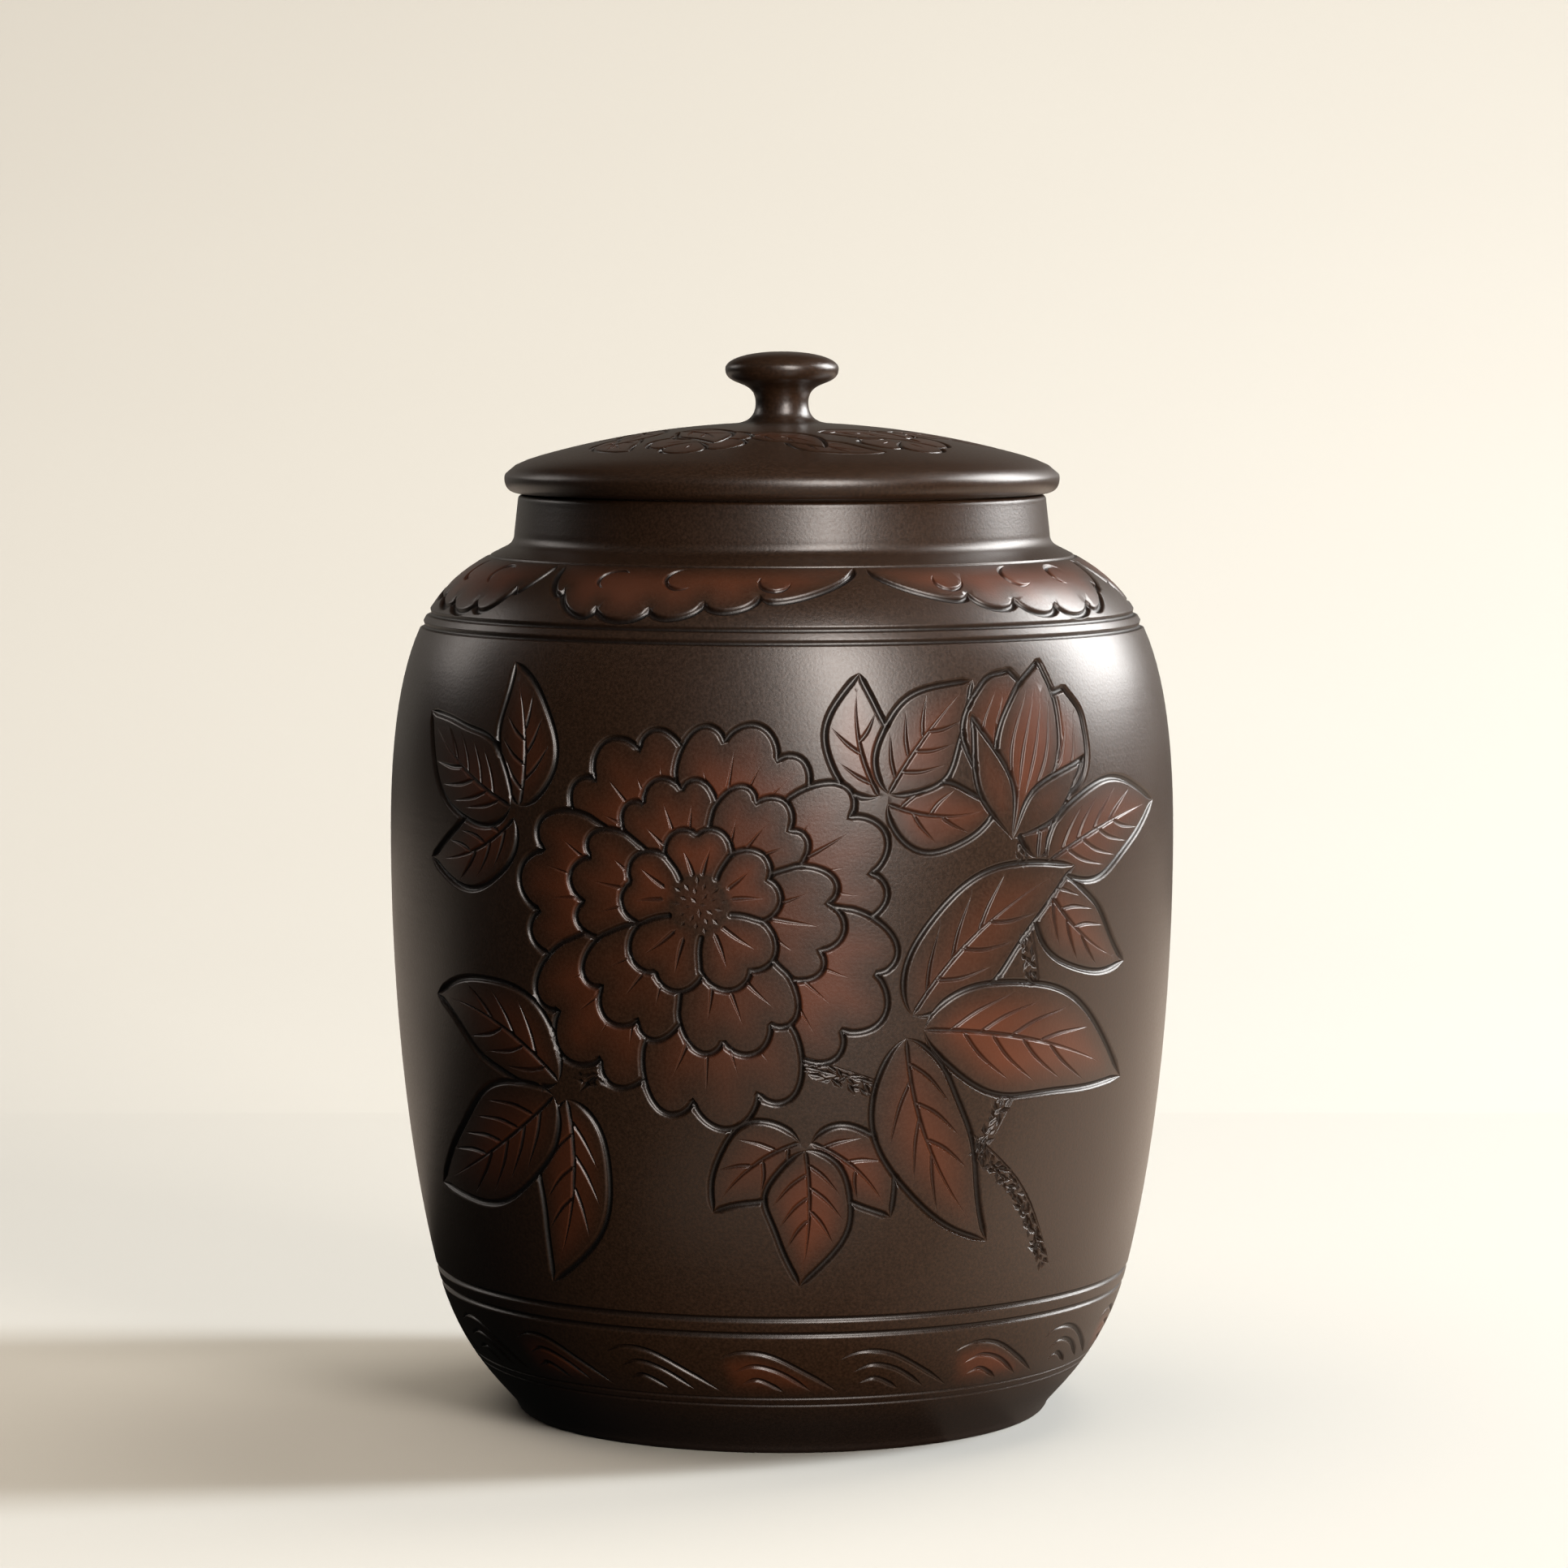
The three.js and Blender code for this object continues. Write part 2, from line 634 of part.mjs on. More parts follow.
function jarGeometry() {
  const turned = turnedSolid(jarOutline(), JAR_TURN_STEPS);
  const carved = carvedCuts().reduce((body, cut) => body.subtract(cut), turned);
  const { vertProperties, triVerts } = carved.getMesh();
  const geometry = new THREE.BufferGeometry();
  geometry.setAttribute("position", new THREE.BufferAttribute(vertProperties, 3));
  geometry.setIndex(new THREE.BufferAttribute(triVerts, 1));
  return geometry;
}

function piece(name, geometry, material) {
  const mesh = new THREE.Mesh(geometry, material);
  mesh.name = name;
  return mesh;
}

// Dark burnished clay: the knob is handled most, so it is a little smoother.
function clay(roughness) {
  return new THREE.MeshStandardMaterial({ color: 0x30221c, roughness, metalness: 0 });
}

const jar = new THREE.Group();
jar.add(piece("jar_body", jarGeometry(), clay(0.45)));

const cover = new THREE.Group();
cover.add(piece("lid", turnedGeometry(lidOutline(), LID_TURN_STEPS), clay(0.42)));
cover.add(piece("lid_knob", turnedGeometry(knobOutline(), KNOB_TURN_STEPS), clay(0.38)));
jar.add(cover);

export default jar;
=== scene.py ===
"""Looks of a carved stoneware storage jar with a domed lid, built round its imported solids.

The scene is in metres, in the solids' own frame. Outlines and carving are drawn in millimetres.
"""

import math
import random

import bmesh
import bpy
import numpy as np
from mathutils import Euler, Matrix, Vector
from mathutils.geometry import delaunay_2d_cdt


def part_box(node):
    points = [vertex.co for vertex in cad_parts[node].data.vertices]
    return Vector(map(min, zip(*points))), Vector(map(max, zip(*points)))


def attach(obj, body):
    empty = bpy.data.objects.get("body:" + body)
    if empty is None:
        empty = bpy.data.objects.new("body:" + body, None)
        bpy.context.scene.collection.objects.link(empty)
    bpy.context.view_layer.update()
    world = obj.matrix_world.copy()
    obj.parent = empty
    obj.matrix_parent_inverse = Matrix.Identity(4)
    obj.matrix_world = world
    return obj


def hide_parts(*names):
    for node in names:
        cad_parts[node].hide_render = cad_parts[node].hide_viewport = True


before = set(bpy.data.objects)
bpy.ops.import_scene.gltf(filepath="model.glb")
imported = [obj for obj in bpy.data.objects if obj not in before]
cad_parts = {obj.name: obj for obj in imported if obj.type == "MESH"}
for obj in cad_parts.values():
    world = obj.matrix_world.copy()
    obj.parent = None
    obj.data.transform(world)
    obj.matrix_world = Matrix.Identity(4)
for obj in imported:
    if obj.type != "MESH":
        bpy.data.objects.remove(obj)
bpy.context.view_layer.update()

MM = 0.001


def box_mm(node):
    """A solid's lowest and highest corners, in millimetres."""
    return [np.array(corner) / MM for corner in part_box(node)]


_, jar_high = box_mm("jar_body")
lid_low, lid_high = box_mm("lid")
knob_low, knob_high = box_mm("lid_knob")

# Jar: the sizes that the frame gives
BELLY_RADIUS = jar_high[0]
LIP_HEIGHT = jar_high[2]

# Jar: foot, wall, neck and inside, as on the solid
FOOT_RADIUS = 65.8
FOOT_HEIGHT = 2
FOOT_DRAFT = 0.6
FOOT_RING_WIDTH = 9
FOOT_EDGE = 1.2
RECESS_DEPTH = 2.5
RECESS_SLOPE = 4
FOOT_LEAN = 34.5
FOOT_PULL = 5
HIP_HEIGHT = 36
HIP_RADIUS = 85.9
HIP_LEAN = 13.5
HIP_PULL_DOWN = 21.8
HIP_PULL_UP = 38.6
BELLY_HEIGHT = 142
BELLY_PULL_DOWN = 26
BELLY_PULL_UP = 57.8
SHOULDER_LEAN = -64
SHOULDER_PULL = 18.2
NECK_RADIUS = 65.9
NECK_HEIGHT = 11.7
NECK_DRAFT = 0.9
NECK_FILLET = 2.2
NECK_WALL = 6
LIP_ROUND = 1.4
THROAT_ROUND = 2.5
WALL = 5.5
FLOOR_HEIGHT = 9.5
FLOOR_ROUND = 9
NECK_ROOT = LIP_HEIGHT - NECK_HEIGHT
LIP_RADIUS = NECK_RADIUS - NECK_DRAFT
BORE_RADIUS = NECK_RADIUS - NECK_WALL

# Lid: the sizes that the frame gives, and the rest as on the solid
RIM_RADIUS = lid_high[0]
FLANGE_FOOT = lid_low[2]
LAND_HEIGHT = lid_high[2]
FLANGE_DEPTH = 12
SEAT_HEIGHT = FLANGE_FOOT + FLANGE_DEPTH
RIM_HEIGHT = 3.8
RIM_UNDERCUT = 4
RIM_SHOULDER = 9.4
DOME_RADIUS = 220
LID_WALL = 6
LID_INSIDE_ROUND = 3
FLANGE_CLEARANCE = 1.2
FLANGE_WALL = 4.5
FLANGE_EDGE = 1
SEAT_ROUND = 0.4
SOCKET_RADIUS = 5.3
SOCKET_DEPTH = 3

# Knob: the sizes that the frame gives, and the rest as on the solid
KNOB_CAP_RADIUS = knob_high[0]
KNOB_TOP = knob_high[2]
TENON_FOOT = knob_low[2]
TENON_LENGTH = 3
TENON_RADIUS = 5
TENON_EDGE = 0.5
KNOB_SEAT = TENON_FOOT + TENON_LENGTH
KNOB_FOOT_RADIUS = 11.5
KNOB_FOOT_EDGE = 0.4
KNOB_WAIST_RADIUS = 6.5
KNOB_WAIST_RISE = 4.7
KNOB_CAP_HEIGHT = 4.2
KNOB_WAIST_PULL = 6.1
KNOB_EDGE_PULL_DOWN = 4.8
KNOB_EDGE_PULL_UP = 2.2
KNOB_CROWN_PULL = 9

# Turned lines of the wall: height of the middle of each, and half its width
WAVE_LINES = (13.55, 15.45)
HIP_LINES = (31.95, 35.85)
SHOULDER_LINES = (194.3, 197.3)
NECK_LINE = 211.1
LINE_HALF = 1.05
FINE_LINE_HALF = 0.65
NECK_LINE_HALF = 0.7
NECK_LINE_DEPTH = 0.75

# How finely the round forms are made
TURN_STEPS = 180
ROW_STEP = 3.2
STROKE_STEP = 0.95
SAME_POINT = 1e-6
WELD = 2e-6
NET_MERGE = 1e-5

# Cutting: a smooth round-bottomed groove, as deep as this share of its half width
CUT_DEPTH = 0.95
CUT_SHARES = (-1, -0.5, 0, 0.5, 1)
# A cut finer than this half width is shallower still, so that its ends run out
RUN_OUT = 0.35
CUT_CLEARANCE = 0.7
CAP_SHARES = (0.5, 1)
CAP_STEPS = 6
LEAST_CAP = 0.2
CUT_REACH = np.array([3.0, 2.2])
TINT_SOFT_EDGE = 0.5
TINT_AT_EDGE = 0.06
# The red is full at this share of a small shape's width in from its outline
TINT_REACH = 0.35


def curve(*pulls, steps=8):
    """Points of the Bezier curve with these pulls: two make a line, three an arc, four an S."""
    share = np.linspace(0, 1, steps + 1)[:, None]
    layer = [np.array(pull, float) + 0 * share for pull in pulls]
    while len(layer) > 1:
        layer = [a * (1 - share) + b * share for a, b in zip(layer, layer[1:])]
    return layer[0]


def lengths(points):
    """Distance along a line of points at each point."""
    return np.concatenate([[0], np.cumsum(np.hypot(*np.diff(points, axis=0).T))])


class Path:
    """Points of a turned outline, as radius and height, drawn on from each end."""

    def __init__(self, start):
        self.pieces = [np.array([start], float)]

    def to(self, *pulls, steps=8):
        """Goes to the last pull, bent towards those before it."""
        self.pieces.append(curve(self.pieces[-1][-1], *pulls, steps=steps))

    def follow(self, points):
        self.pieces.append(points)


class Outline:
    """A turned outline: radius, height and outward direction by the distance along it."""

    def __init__(self, pieces):
        points = np.vstack(pieces)
        apart = np.hypot(*np.diff(points, axis=0).T) > SAME_POINT
        self.points = points[np.concatenate([[True], apart])]
        self.along = lengths(self.points)
        run = np.gradient(self.points, self.along, axis=0)
        run /= np.hypot(run[:, 0], run[:, 1])[:, None]
        self.facing = np.column_stack([run[:, 1], -run[:, 0]])

    def start_at(self, index):
        """Measures the distance along from this point on."""
        self.along = self.along - self.along[index]

    def at(self, along):
        """Radius, height, and the outward direction's share of each."""
        columns = [*self.points.T, *self.facing.T]
        return [np.interp(along, self.along, column) for column in columns]

    def index_at(self, radius, height):
        """The number of the point nearest to a place."""
        return int(np.argmin(np.hypot(*(self.points - (radius, height)).T)))


def climb(lean):
    """The way up a wall that leans out by this many degrees."""
    angle = math.radians(lean)
    return np.array([math.sin(angle), math.cos(angle)])


def wall_curves(inset, steps):
    """The wall from foot to neck root, moved inwards by inset."""
    stations = (
        (FOOT_RADIUS + FOOT_DRAFT, FOOT_HEIGHT, FOOT_LEAN),
        (HIP_RADIUS, HIP_HEIGHT, HIP_LEAN),
        (BELLY_RADIUS, BELLY_HEIGHT, 0),
        (NECK_RADIUS, NECK_ROOT, SHOULDER_LEAN),
    )
    pulls = (
        (FOOT_PULL, HIP_PULL_DOWN),
        (HIP_PULL_UP, BELLY_PULL_DOWN),
        (BELLY_PULL_UP, SHOULDER_PULL),
    )
    ways = [climb(lean) for _, _, lean in stations]
    places = [
        np.array([radius - inset * way[1], height + inset * way[0]])
        for (radius, height, _), way in zip(stations, ways)
    ]
    return np.vstack([
        curve(
            places[i],
            places[i] + ways[i] * pull_up,
            places[i + 1] - ways[i + 1] * pull_down,
            places[i + 1],
            steps=steps,
        )
        for i, (pull_up, pull_down) in enumerate(pulls)
    ])


def jar_outline():
    """From the middle of the underside out and up the wall, over the lip, and down to the floor."""
    recess = FOOT_RADIUS - FOOT_RING_WIDTH
    neck_root = np.array([NECK_RADIUS, NECK_ROOT])
    wall = wall_curves(0, 60)
    wall = wall[np.hypot(*(wall - neck_root).T) > NECK_FILLET]
    inside = wall_curves(WALL, 30)[::-1]
    throat = inside[0]
    throat_rise = (throat[0] - BORE_RADIUS) / math.tan(math.radians(-SHOULDER_LEAN))
    throat_corner = np.array([BORE_RADIUS, throat[1] + throat_rise])
    inside = inside[inside[:, 1] > FLOOR_HEIGHT + FLOOR_ROUND / 2]
    floor_edge = np.interp(FLOOR_HEIGHT, *wall_curves(WALL, 30).T[::-1])
    path = Path((0, RECESS_DEPTH))
    path.to((recess - RECESS_SLOPE, RECESS_DEPTH), steps=10)
    path.to((recess, 0), steps=4)
    path.to((FOOT_RADIUS - FOOT_EDGE, 0), steps=4)
    path.to((FOOT_RADIUS, 0), (FOOT_RADIUS + FOOT_DRAFT, FOOT_HEIGHT), steps=6)
    path.follow(wall)
    path.to(neck_root - climb(SHOULDER_LEAN) * NECK_FILLET, steps=1)
    path.to(neck_root, neck_root + (0, NECK_FILLET), steps=10)
    path.to((LIP_RADIUS, LIP_HEIGHT - LIP_ROUND))
    path.to((LIP_RADIUS, LIP_HEIGHT), (LIP_RADIUS - LIP_ROUND, LIP_HEIGHT))
    path.to((BORE_RADIUS + LIP_ROUND, LIP_HEIGHT), steps=4)
    path.to((BORE_RADIUS, LIP_HEIGHT), (BORE_RADIUS, LIP_HEIGHT - LIP_ROUND))
    path.to(throat_corner + (0, THROAT_ROUND), steps=6)
    path.to(throat_corner, throat)
    path.follow(inside)
    path.to((floor_edge, FLOOR_HEIGHT), (floor_edge - FLOOR_ROUND, FLOOR_HEIGHT))
    path.to((0, FLOOR_HEIGHT), steps=10)
    outline = Outline(path.pieces)
    outline.start_at(int(np.argmax(outline.points[:, 0])))
    return outline


def dome_height(radius, inset=0):
    """Height of the lid's dome at a distance from the axis, and of a surface below it."""
    centre = LAND_HEIGHT - math.sqrt(DOME_RADIUS**2 - KNOB_FOOT_RADIUS**2)
    return centre + np.sqrt((DOME_RADIUS - inset) ** 2 - np.square(radius))


def dome(start, end, inset, steps):
    """Points of the dome from one distance from the axis to another."""
    radius = np.linspace(start, end, steps + 1)
    return np.column_stack([radius, dome_height(radius, inset)])


def lid_outline():
    """From the middle of the hollow, out over the flange and rim, and up the dome to the socket."""
    flange = BORE_RADIUS - FLANGE_CLEARANCE
    inner = flange - FLANGE_WALL
    hollow = inner - LID_INSIDE_ROUND
    dome_edge = RIM_RADIUS - RIM_SHOULDER
    edge_height = dome_height(dome_edge)
    slope = dome_edge / math.sqrt(DOME_RADIUS**2 - dome_edge**2)
    corner_height = dome_height(inner, LID_WALL)
    path = Path((0, dome_height(0, LID_WALL)))
    path.follow(dome(0, hollow, LID_WALL, 12))
    path.to((inner, corner_height), (inner, corner_height - LID_INSIDE_ROUND))
    path.to((inner, FLANGE_FOOT + FLANGE_EDGE))
    path.to((inner, FLANGE_FOOT), (inner + FLANGE_EDGE, FLANGE_FOOT))
    path.to((flange - FLANGE_EDGE, FLANGE_FOOT), steps=3)
    path.to((flange, FLANGE_FOOT), (flange, FLANGE_FOOT + FLANGE_EDGE))
    path.to((flange, SEAT_HEIGHT - SEAT_ROUND), steps=6)
    path.to((flange, SEAT_HEIGHT), (flange + SEAT_ROUND, SEAT_HEIGHT), steps=4)
    path.to((RIM_RADIUS - RIM_UNDERCUT, SEAT_HEIGHT), steps=4)
    path.to((RIM_RADIUS, SEAT_HEIGHT), (RIM_RADIUS, SEAT_HEIGHT + RIM_HEIGHT), steps=14)
    path.to((RIM_RADIUS, edge_height - slope * RIM_SHOULDER), (dome_edge, edge_height), steps=24)
    path.follow(dome(dome_edge, KNOB_FOOT_RADIUS, 0, 40))
    path.to((SOCKET_RADIUS, LAND_HEIGHT), steps=3)
    path.to((SOCKET_RADIUS, LAND_HEIGHT - SOCKET_DEPTH), steps=2)
    path.to((0, LAND_HEIGHT - SOCKET_DEPTH), steps=2)
    return Outline(path.pieces)


def knob_outline():
    """From the tenon's foot, out along the seat, up the waist, and over the cap."""
    edge = KNOB_TOP - KNOB_CAP_HEIGHT
    waist = np.array([KNOB_WAIST_RADIUS, KNOB_SEAT + KNOB_WAIST_RISE])
    foot = np.array([KNOB_FOOT_RADIUS, LAND_HEIGHT])
    cap_edge = (KNOB_CAP_RADIUS, edge)
    below_edge = (KNOB_CAP_RADIUS, edge - KNOB_EDGE_PULL_DOWN)
    above_edge = (KNOB_CAP_RADIUS, edge + KNOB_EDGE_PULL_UP)
    path = Path((0, TENON_FOOT))
    path.to((TENON_RADIUS - TENON_EDGE, TENON_FOOT), steps=2)
    path.to((TENON_RADIUS, TENON_FOOT + TENON_EDGE), steps=1)
    path.to((TENON_RADIUS, KNOB_SEAT), steps=2)
    path.to(foot, steps=4)
    path.to((KNOB_WAIST_RADIUS, foot[1] + KNOB_FOOT_EDGE), waist, steps=20)
    path.to(waist + (0, KNOB_WAIST_PULL), below_edge, cap_edge, steps=28)
    path.to(above_edge, (KNOB_CROWN_PULL, KNOB_TOP), (0, KNOB_TOP), steps=28)
    return Outline(path.pieces)


# Drawing of the carving, flat, in millimetres: u runs round the piece and v along its outline


def evenly(points, step=STROKE_STEP):
    """Points at an even step along a line of points."""
    points = np.asarray(points, float)
    apart = np.hypot(*np.diff(points, axis=0).T) > SAME_POINT
    points = points[np.concatenate([[True], apart])]
    along = lengths(points)
    places = np.linspace(0, along[-1], max(3, round(along[-1] / step) + 1))
    return np.column_stack([np.interp(places, along, column) for column in points.T])


def smooth(points, step=STROKE_STEP):
    """Points at an even step along a smooth curve through a few points."""
    points = np.asarray(points, float)
    padded = np.vstack([2 * points[0] - points[1], points, 2 * points[-1] - points[-2]])
    spans = []
    for a, b, c, d in zip(padded, padded[1:], padded[2:], padded[3:]):
        spans.append(curve(b, b + (c - a) / 6, c - (d - b) / 6, c, steps=20))
    return evenly(np.vstack(spans), step)


# Shares of a cut's length over which it swells at its start and runs out at its end
TAPER = (0.15, 0.15)
LEAST_SWELL = 0.15
SWELL_FULLNESS = 0.7


def swelling(count, half, taper):
    """Half widths along a cut that swells from a fine start and runs out to a fine end."""
    start, end = taper
    share = np.linspace(0, 1, count)
    rise = np.clip(share / start, 0, 1)
    fall = np.clip((1 - share) / end, 0, 1)
    return half * np.maximum(LEAST_SWELL, np.minimum(rise, fall) ** SWELL_FULLNESS)


def inside(points, shape):
    """Which points lie inside a closed shape."""
    u, v = points.T[:, :, None]
    (au, av), (bu, bv) = np.roll(shape, 1, axis=0).T, shape.T
    rise = np.where(av == bv, 1, bv - av)
    crosses = ((av > v) != (bv > v)) & (u < au + (bu - au) * (v - av) / rise)
    return np.sum(crosses, axis=1) % 2 == 1


def near(points, low, high):
    """Which points lie between two corners."""
    return np.all((points >= low) & (points <= high), axis=1)


class Drawing:
    """Shapes are drawn front first: an earlier shape hides the strokes of a later one."""

    def __init__(self):
        self.strokes = []
        self.shapes = []
        self.tints = []

    def stroke(self, line, half, taper=TAPER):
        line = evenly(line)
        halves = swelling(len(line), half, taper)
        hidden = np.zeros(len(line), bool)
        for shape in self.shapes:
            close = near(line, shape.min(0), shape.max(0))
            if close.any():
                hidden[close] |= inside(line[close], shape)
        for run in np.split(np.arange(len(line)), np.flatnonzero(np.diff(hidden)) + 1):
            if len(run) > 3 and not hidden[run[0]]:
                self.strokes.append((line[run], halves[run]))

    def shape(self, outline, tint):
        outline = np.asarray(outline, float)
        self.tints.append((outline, tint))
        self.shapes.append(outline)


def turned(points, angle, place, scale=1.0):
    """Points of a small pattern, turned by an angle, scaled and moved to a place."""
    c, s = math.cos(angle), math.sin(angle)
    return np.asarray(points, float) @ np.array([[c, s], [-s, c]]) * scale + place


# Spray of flowers for the belly: places and sizes are in belly radii, as on the solid

MAIN_CUT = 1.2
FINE_CUT = 0.78
BLOOM_PLACE = (-0.2, -0.08)
BLOOM_SIZE = 0.5
BLOOM_TILT = 0.35
BLOOM_LEAN = 0.1
# Rings of petals: count, foot, reach, half spread, lobes, fine lines, tint
BLOOM_RINGS = (
    (5, 0.08, 0.42, 0.66, 2, 2, 0.9),
    (6, 0.18, 0.70, 0.56, 3, 3, 0.75),
    (7, 0.32, 1.0, 0.52, 3, 4, 0.95),
)
PETAL_ROUND = 0.2
PETAL_FULLNESS = 2.6
LOBE_DEPTH = 0.12
LOBE_FULLNESS = 0.7
LOBE_STEPS = 16
PETAL_FOOT_HALF = 0.35
PETAL_BOW = 0.05
# Where a petal's side bends: shares of its foot and of its edge
PETAL_SIDE = (0.55, 0.45)
PETAL_TAPER = (0.06, 0.06)
# Fine lines of a petal: least and most that each starts and stops along it, and how they fan out
PETAL_LINE_START = (0.15, 0.3)
PETAL_LINE_STOP = (0.74, 0.88)
PETAL_LINE_DROP = 0.14
PETAL_LINE_FAN = np.array([0.45, 0.6, 0.74])
PETAL_LINE_TAPER = (0.1, 0.6)
# Pitted heart of the bloom, in shares of the bloom's size, and the turn from pit to pit
HEART_PITS = 24
HEART_PITTED = 0.13
HEART_RADIUS = 0.15
HEART_STEPS = 40
HEART_TURN = 2.39996
HEART_TINT = 0.3
# The way round the bloom to the petals that lie in front
BLOOM_FRONT = 2.6
PIT_REACH = (0.7, 1.2)
PIT_HALVES = np.array([0.12, 0.6, 0.12])
BUD_PLACE = (0.64, 0.22)
BUD_HEADING = 72
BUD_SIZE = 0.3
LEAF_STEPS = 60
# A leaf's width by the share of its length: how it swells from its base and falls to its tip
LEAF_SWELL = (0.7, 1.1)
LEAF_SWELL_MOST = 0.3
LEAF_WAVE = 0.06
LEAF_WAVES = 1.6
LEAF_TAPER = (0.1, 0.06)
RIB_LENGTH = 0.86
RIB_CUT = 1.15
RIB_TAPER = (0.04, 0.6)
# Side veins, in shares of the rib, and how far they reach towards the edge
VEIN_FIRST = 0.1
VEIN_SPAN = 0.52
VEIN_STAGGER = 0.4
VEIN_RUN = 0.24
VEIN_REACH = (0.72, 0.84)
VEIN_BOW = 0.025
VEIN_TAPER = (0.05, 0.6)
# Leaflets of a leaf: way and reach of the base, way and reach of the tip, width, bend, fewer veins, tint
LEAFLETS = (
    (0, 0.14, 0, 1, 1, 0.05, 0, 0.95),
    (20, 0.1, 46, 0.8, 0.85, 0.1, 1, 0.75),
    (-20, 0.1, -46, 0.8, 0.85, -0.1, 1, 0.75),
)
# Leaves: place, heading, length, half width, veins
LEAVES = (
    ((0.24, -0.36), -14, 0.82, 0.14, 4),
    ((-0.52, -0.52), 208, 0.68, 0.13, 4),
    ((0.06, -0.62), 268, 0.4, 0.11, 3),
    ((0.62, -0.02), 14, 0.58, 0.11, 4),
    ((0.22, 0.14), 48, 0.42, 0.1, 3),
    ((-0.66, 0.1), 150, 0.5, 0.11, 4),
)
STEMS = (
    ((0.78, -1), (0.62, -0.78), (0.34, -0.58), (0.04, -0.46)),
    ((0.52, -0.7), (0.66, -0.4), (0.62, -0.08), (0.64, 0.16)),
    ((-0.3, -0.48), (-0.52, -0.52)),
)
STEM_HALF = 2.3
STEM_STEP = 1.9
STEM_LINE_PLACE = 0.9
STEM_LINE_CUT = 0.45
STEM_LINE_TAPER = (0.2, 0.2)
# Rows of pits along a stem, in shares of its half width, and how far each pit strays
STEM_ROWS = (-0.5, 0.1, 0.6)
STEM_STRAY_ACROSS = 0.3
STEM_STRAY_ALONG = 0.4
STEM_STRAY_TURN = 0.9
STEM_PIT_SIZE = (1.2, 1.9)
# Bud, in shares of its size: one side of a sepal out and back, and the low side, high side and tip of a fold
BUD_STEP = 0.04
SEPAL_OUT = ((-0.55, 0), (-0.25, 0.42), (0.3, 0.62))
SEPAL_BACK = ((0.3, 0.62), (-0.1, 0.12), (-0.55, 0))
SEPAL_TINT = 0.4
FOLDS = ((-0.3, 0.34, 0.95), (-0.62, 0.05, 0.8), (0.0, 0.66, 0.78))
FOLD_LINES = 4
FOLD_LINE_TAPER = (0.3, 0.6)
FOLD_TINT = 0.9


def petal(draw, rand, centre, angle, size, ring):
    """One scalloped petal of a bloom, with fine lines running out from its foot."""
    _, inner, outer, spread, lobes, lines, tint = ring
    span = np.linspace(-1, 1, LOBE_STEPS * lobes + 1)
    bump = np.abs(np.sin(np.pi * lobes * (span + 1) / 2)) ** LOBE_FULLNESS
    reach = size * outer * (1 - PETAL_ROUND * np.abs(span) ** PETAL_FULLNESS)
    reach = reach * (1 - LOBE_DEPTH * (1 - bump))
    edge = np.column_stack([reach * np.cos(spread * span), reach * np.sin(spread * span)])
    foot = size * inner * np.array([[1, -PETAL_FOOT_HALF], [1, PETAL_FOOT_HALF]])
    bow = np.array([0, size * outer * PETAL_BOW])
    low, high = PETAL_SIDE
    left = smooth([foot[0], foot[0] * low + edge[0] * high - bow, edge[0]])
    right = smooth([edge[-1], foot[1] * low + edge[-1] * high + bow, foot[1]])
    outline = turned(np.vstack([left, edge, right]), angle, centre)
    draw.stroke(outline, MAIN_CUT, PETAL_TAPER)
    for i in range(lines):
        side = (i + 0.5) / lines * 2 - 1
        start = size * (inner + (outer - inner) * rand.uniform(*PETAL_LINE_START))
        stop = size * outer * rand.uniform(*PETAL_LINE_STOP) * (1 - PETAL_LINE_DROP * abs(side))
        ways = spread * side * PETAL_LINE_FAN
        reach = np.array([start, (start + stop) / 2, stop])
        fine = smooth(np.column_stack([reach * np.cos(ways), reach * np.sin(ways)]))
        draw.stroke(turned(fine, angle, centre), FINE_CUT, PETAL_LINE_TAPER)
    draw.shape(outline, tint)


def bloom(draw, rand, centre, size, tilt):
    """An open flower: a pitted heart and rings of petals, the near ones in front."""
    around = np.linspace(0, 2 * math.pi, HEART_STEPS)
    for i in range(HEART_PITS):
        angle = i * HEART_TURN
        reach = size * HEART_PITTED * math.sqrt((i + 0.5) / HEART_PITS)
        pit(draw, rand, turned([(reach, 0)], angle, centre)[0], angle, 1.0)
    draw.shape(centre + size * HEART_RADIUS * np.column_stack([np.cos(around), np.sin(around)]), HEART_TINT)
    for number, ring in enumerate(BLOOM_RINGS):
        count = ring[0]
        ways = [tilt + (k + 0.5 * (number % 2)) * 2 * math.pi / count for k in range(count)]
        for way in sorted(ways, key=lambda w: -math.sin(w + BLOOM_FRONT)):
            petal(draw, rand, centre, way, size * (1 - BLOOM_LEAN * math.sin(way)), ring)


def pit(draw, rand, place, angle, size):
    """A short pricked mark."""
    reach = rand.uniform(*PIT_REACH) * size
    way = np.array([math.cos(angle), math.sin(angle)]) * reach
    draw.strokes.append((np.array([place - way, place, place + way]), PIT_HALVES * size))


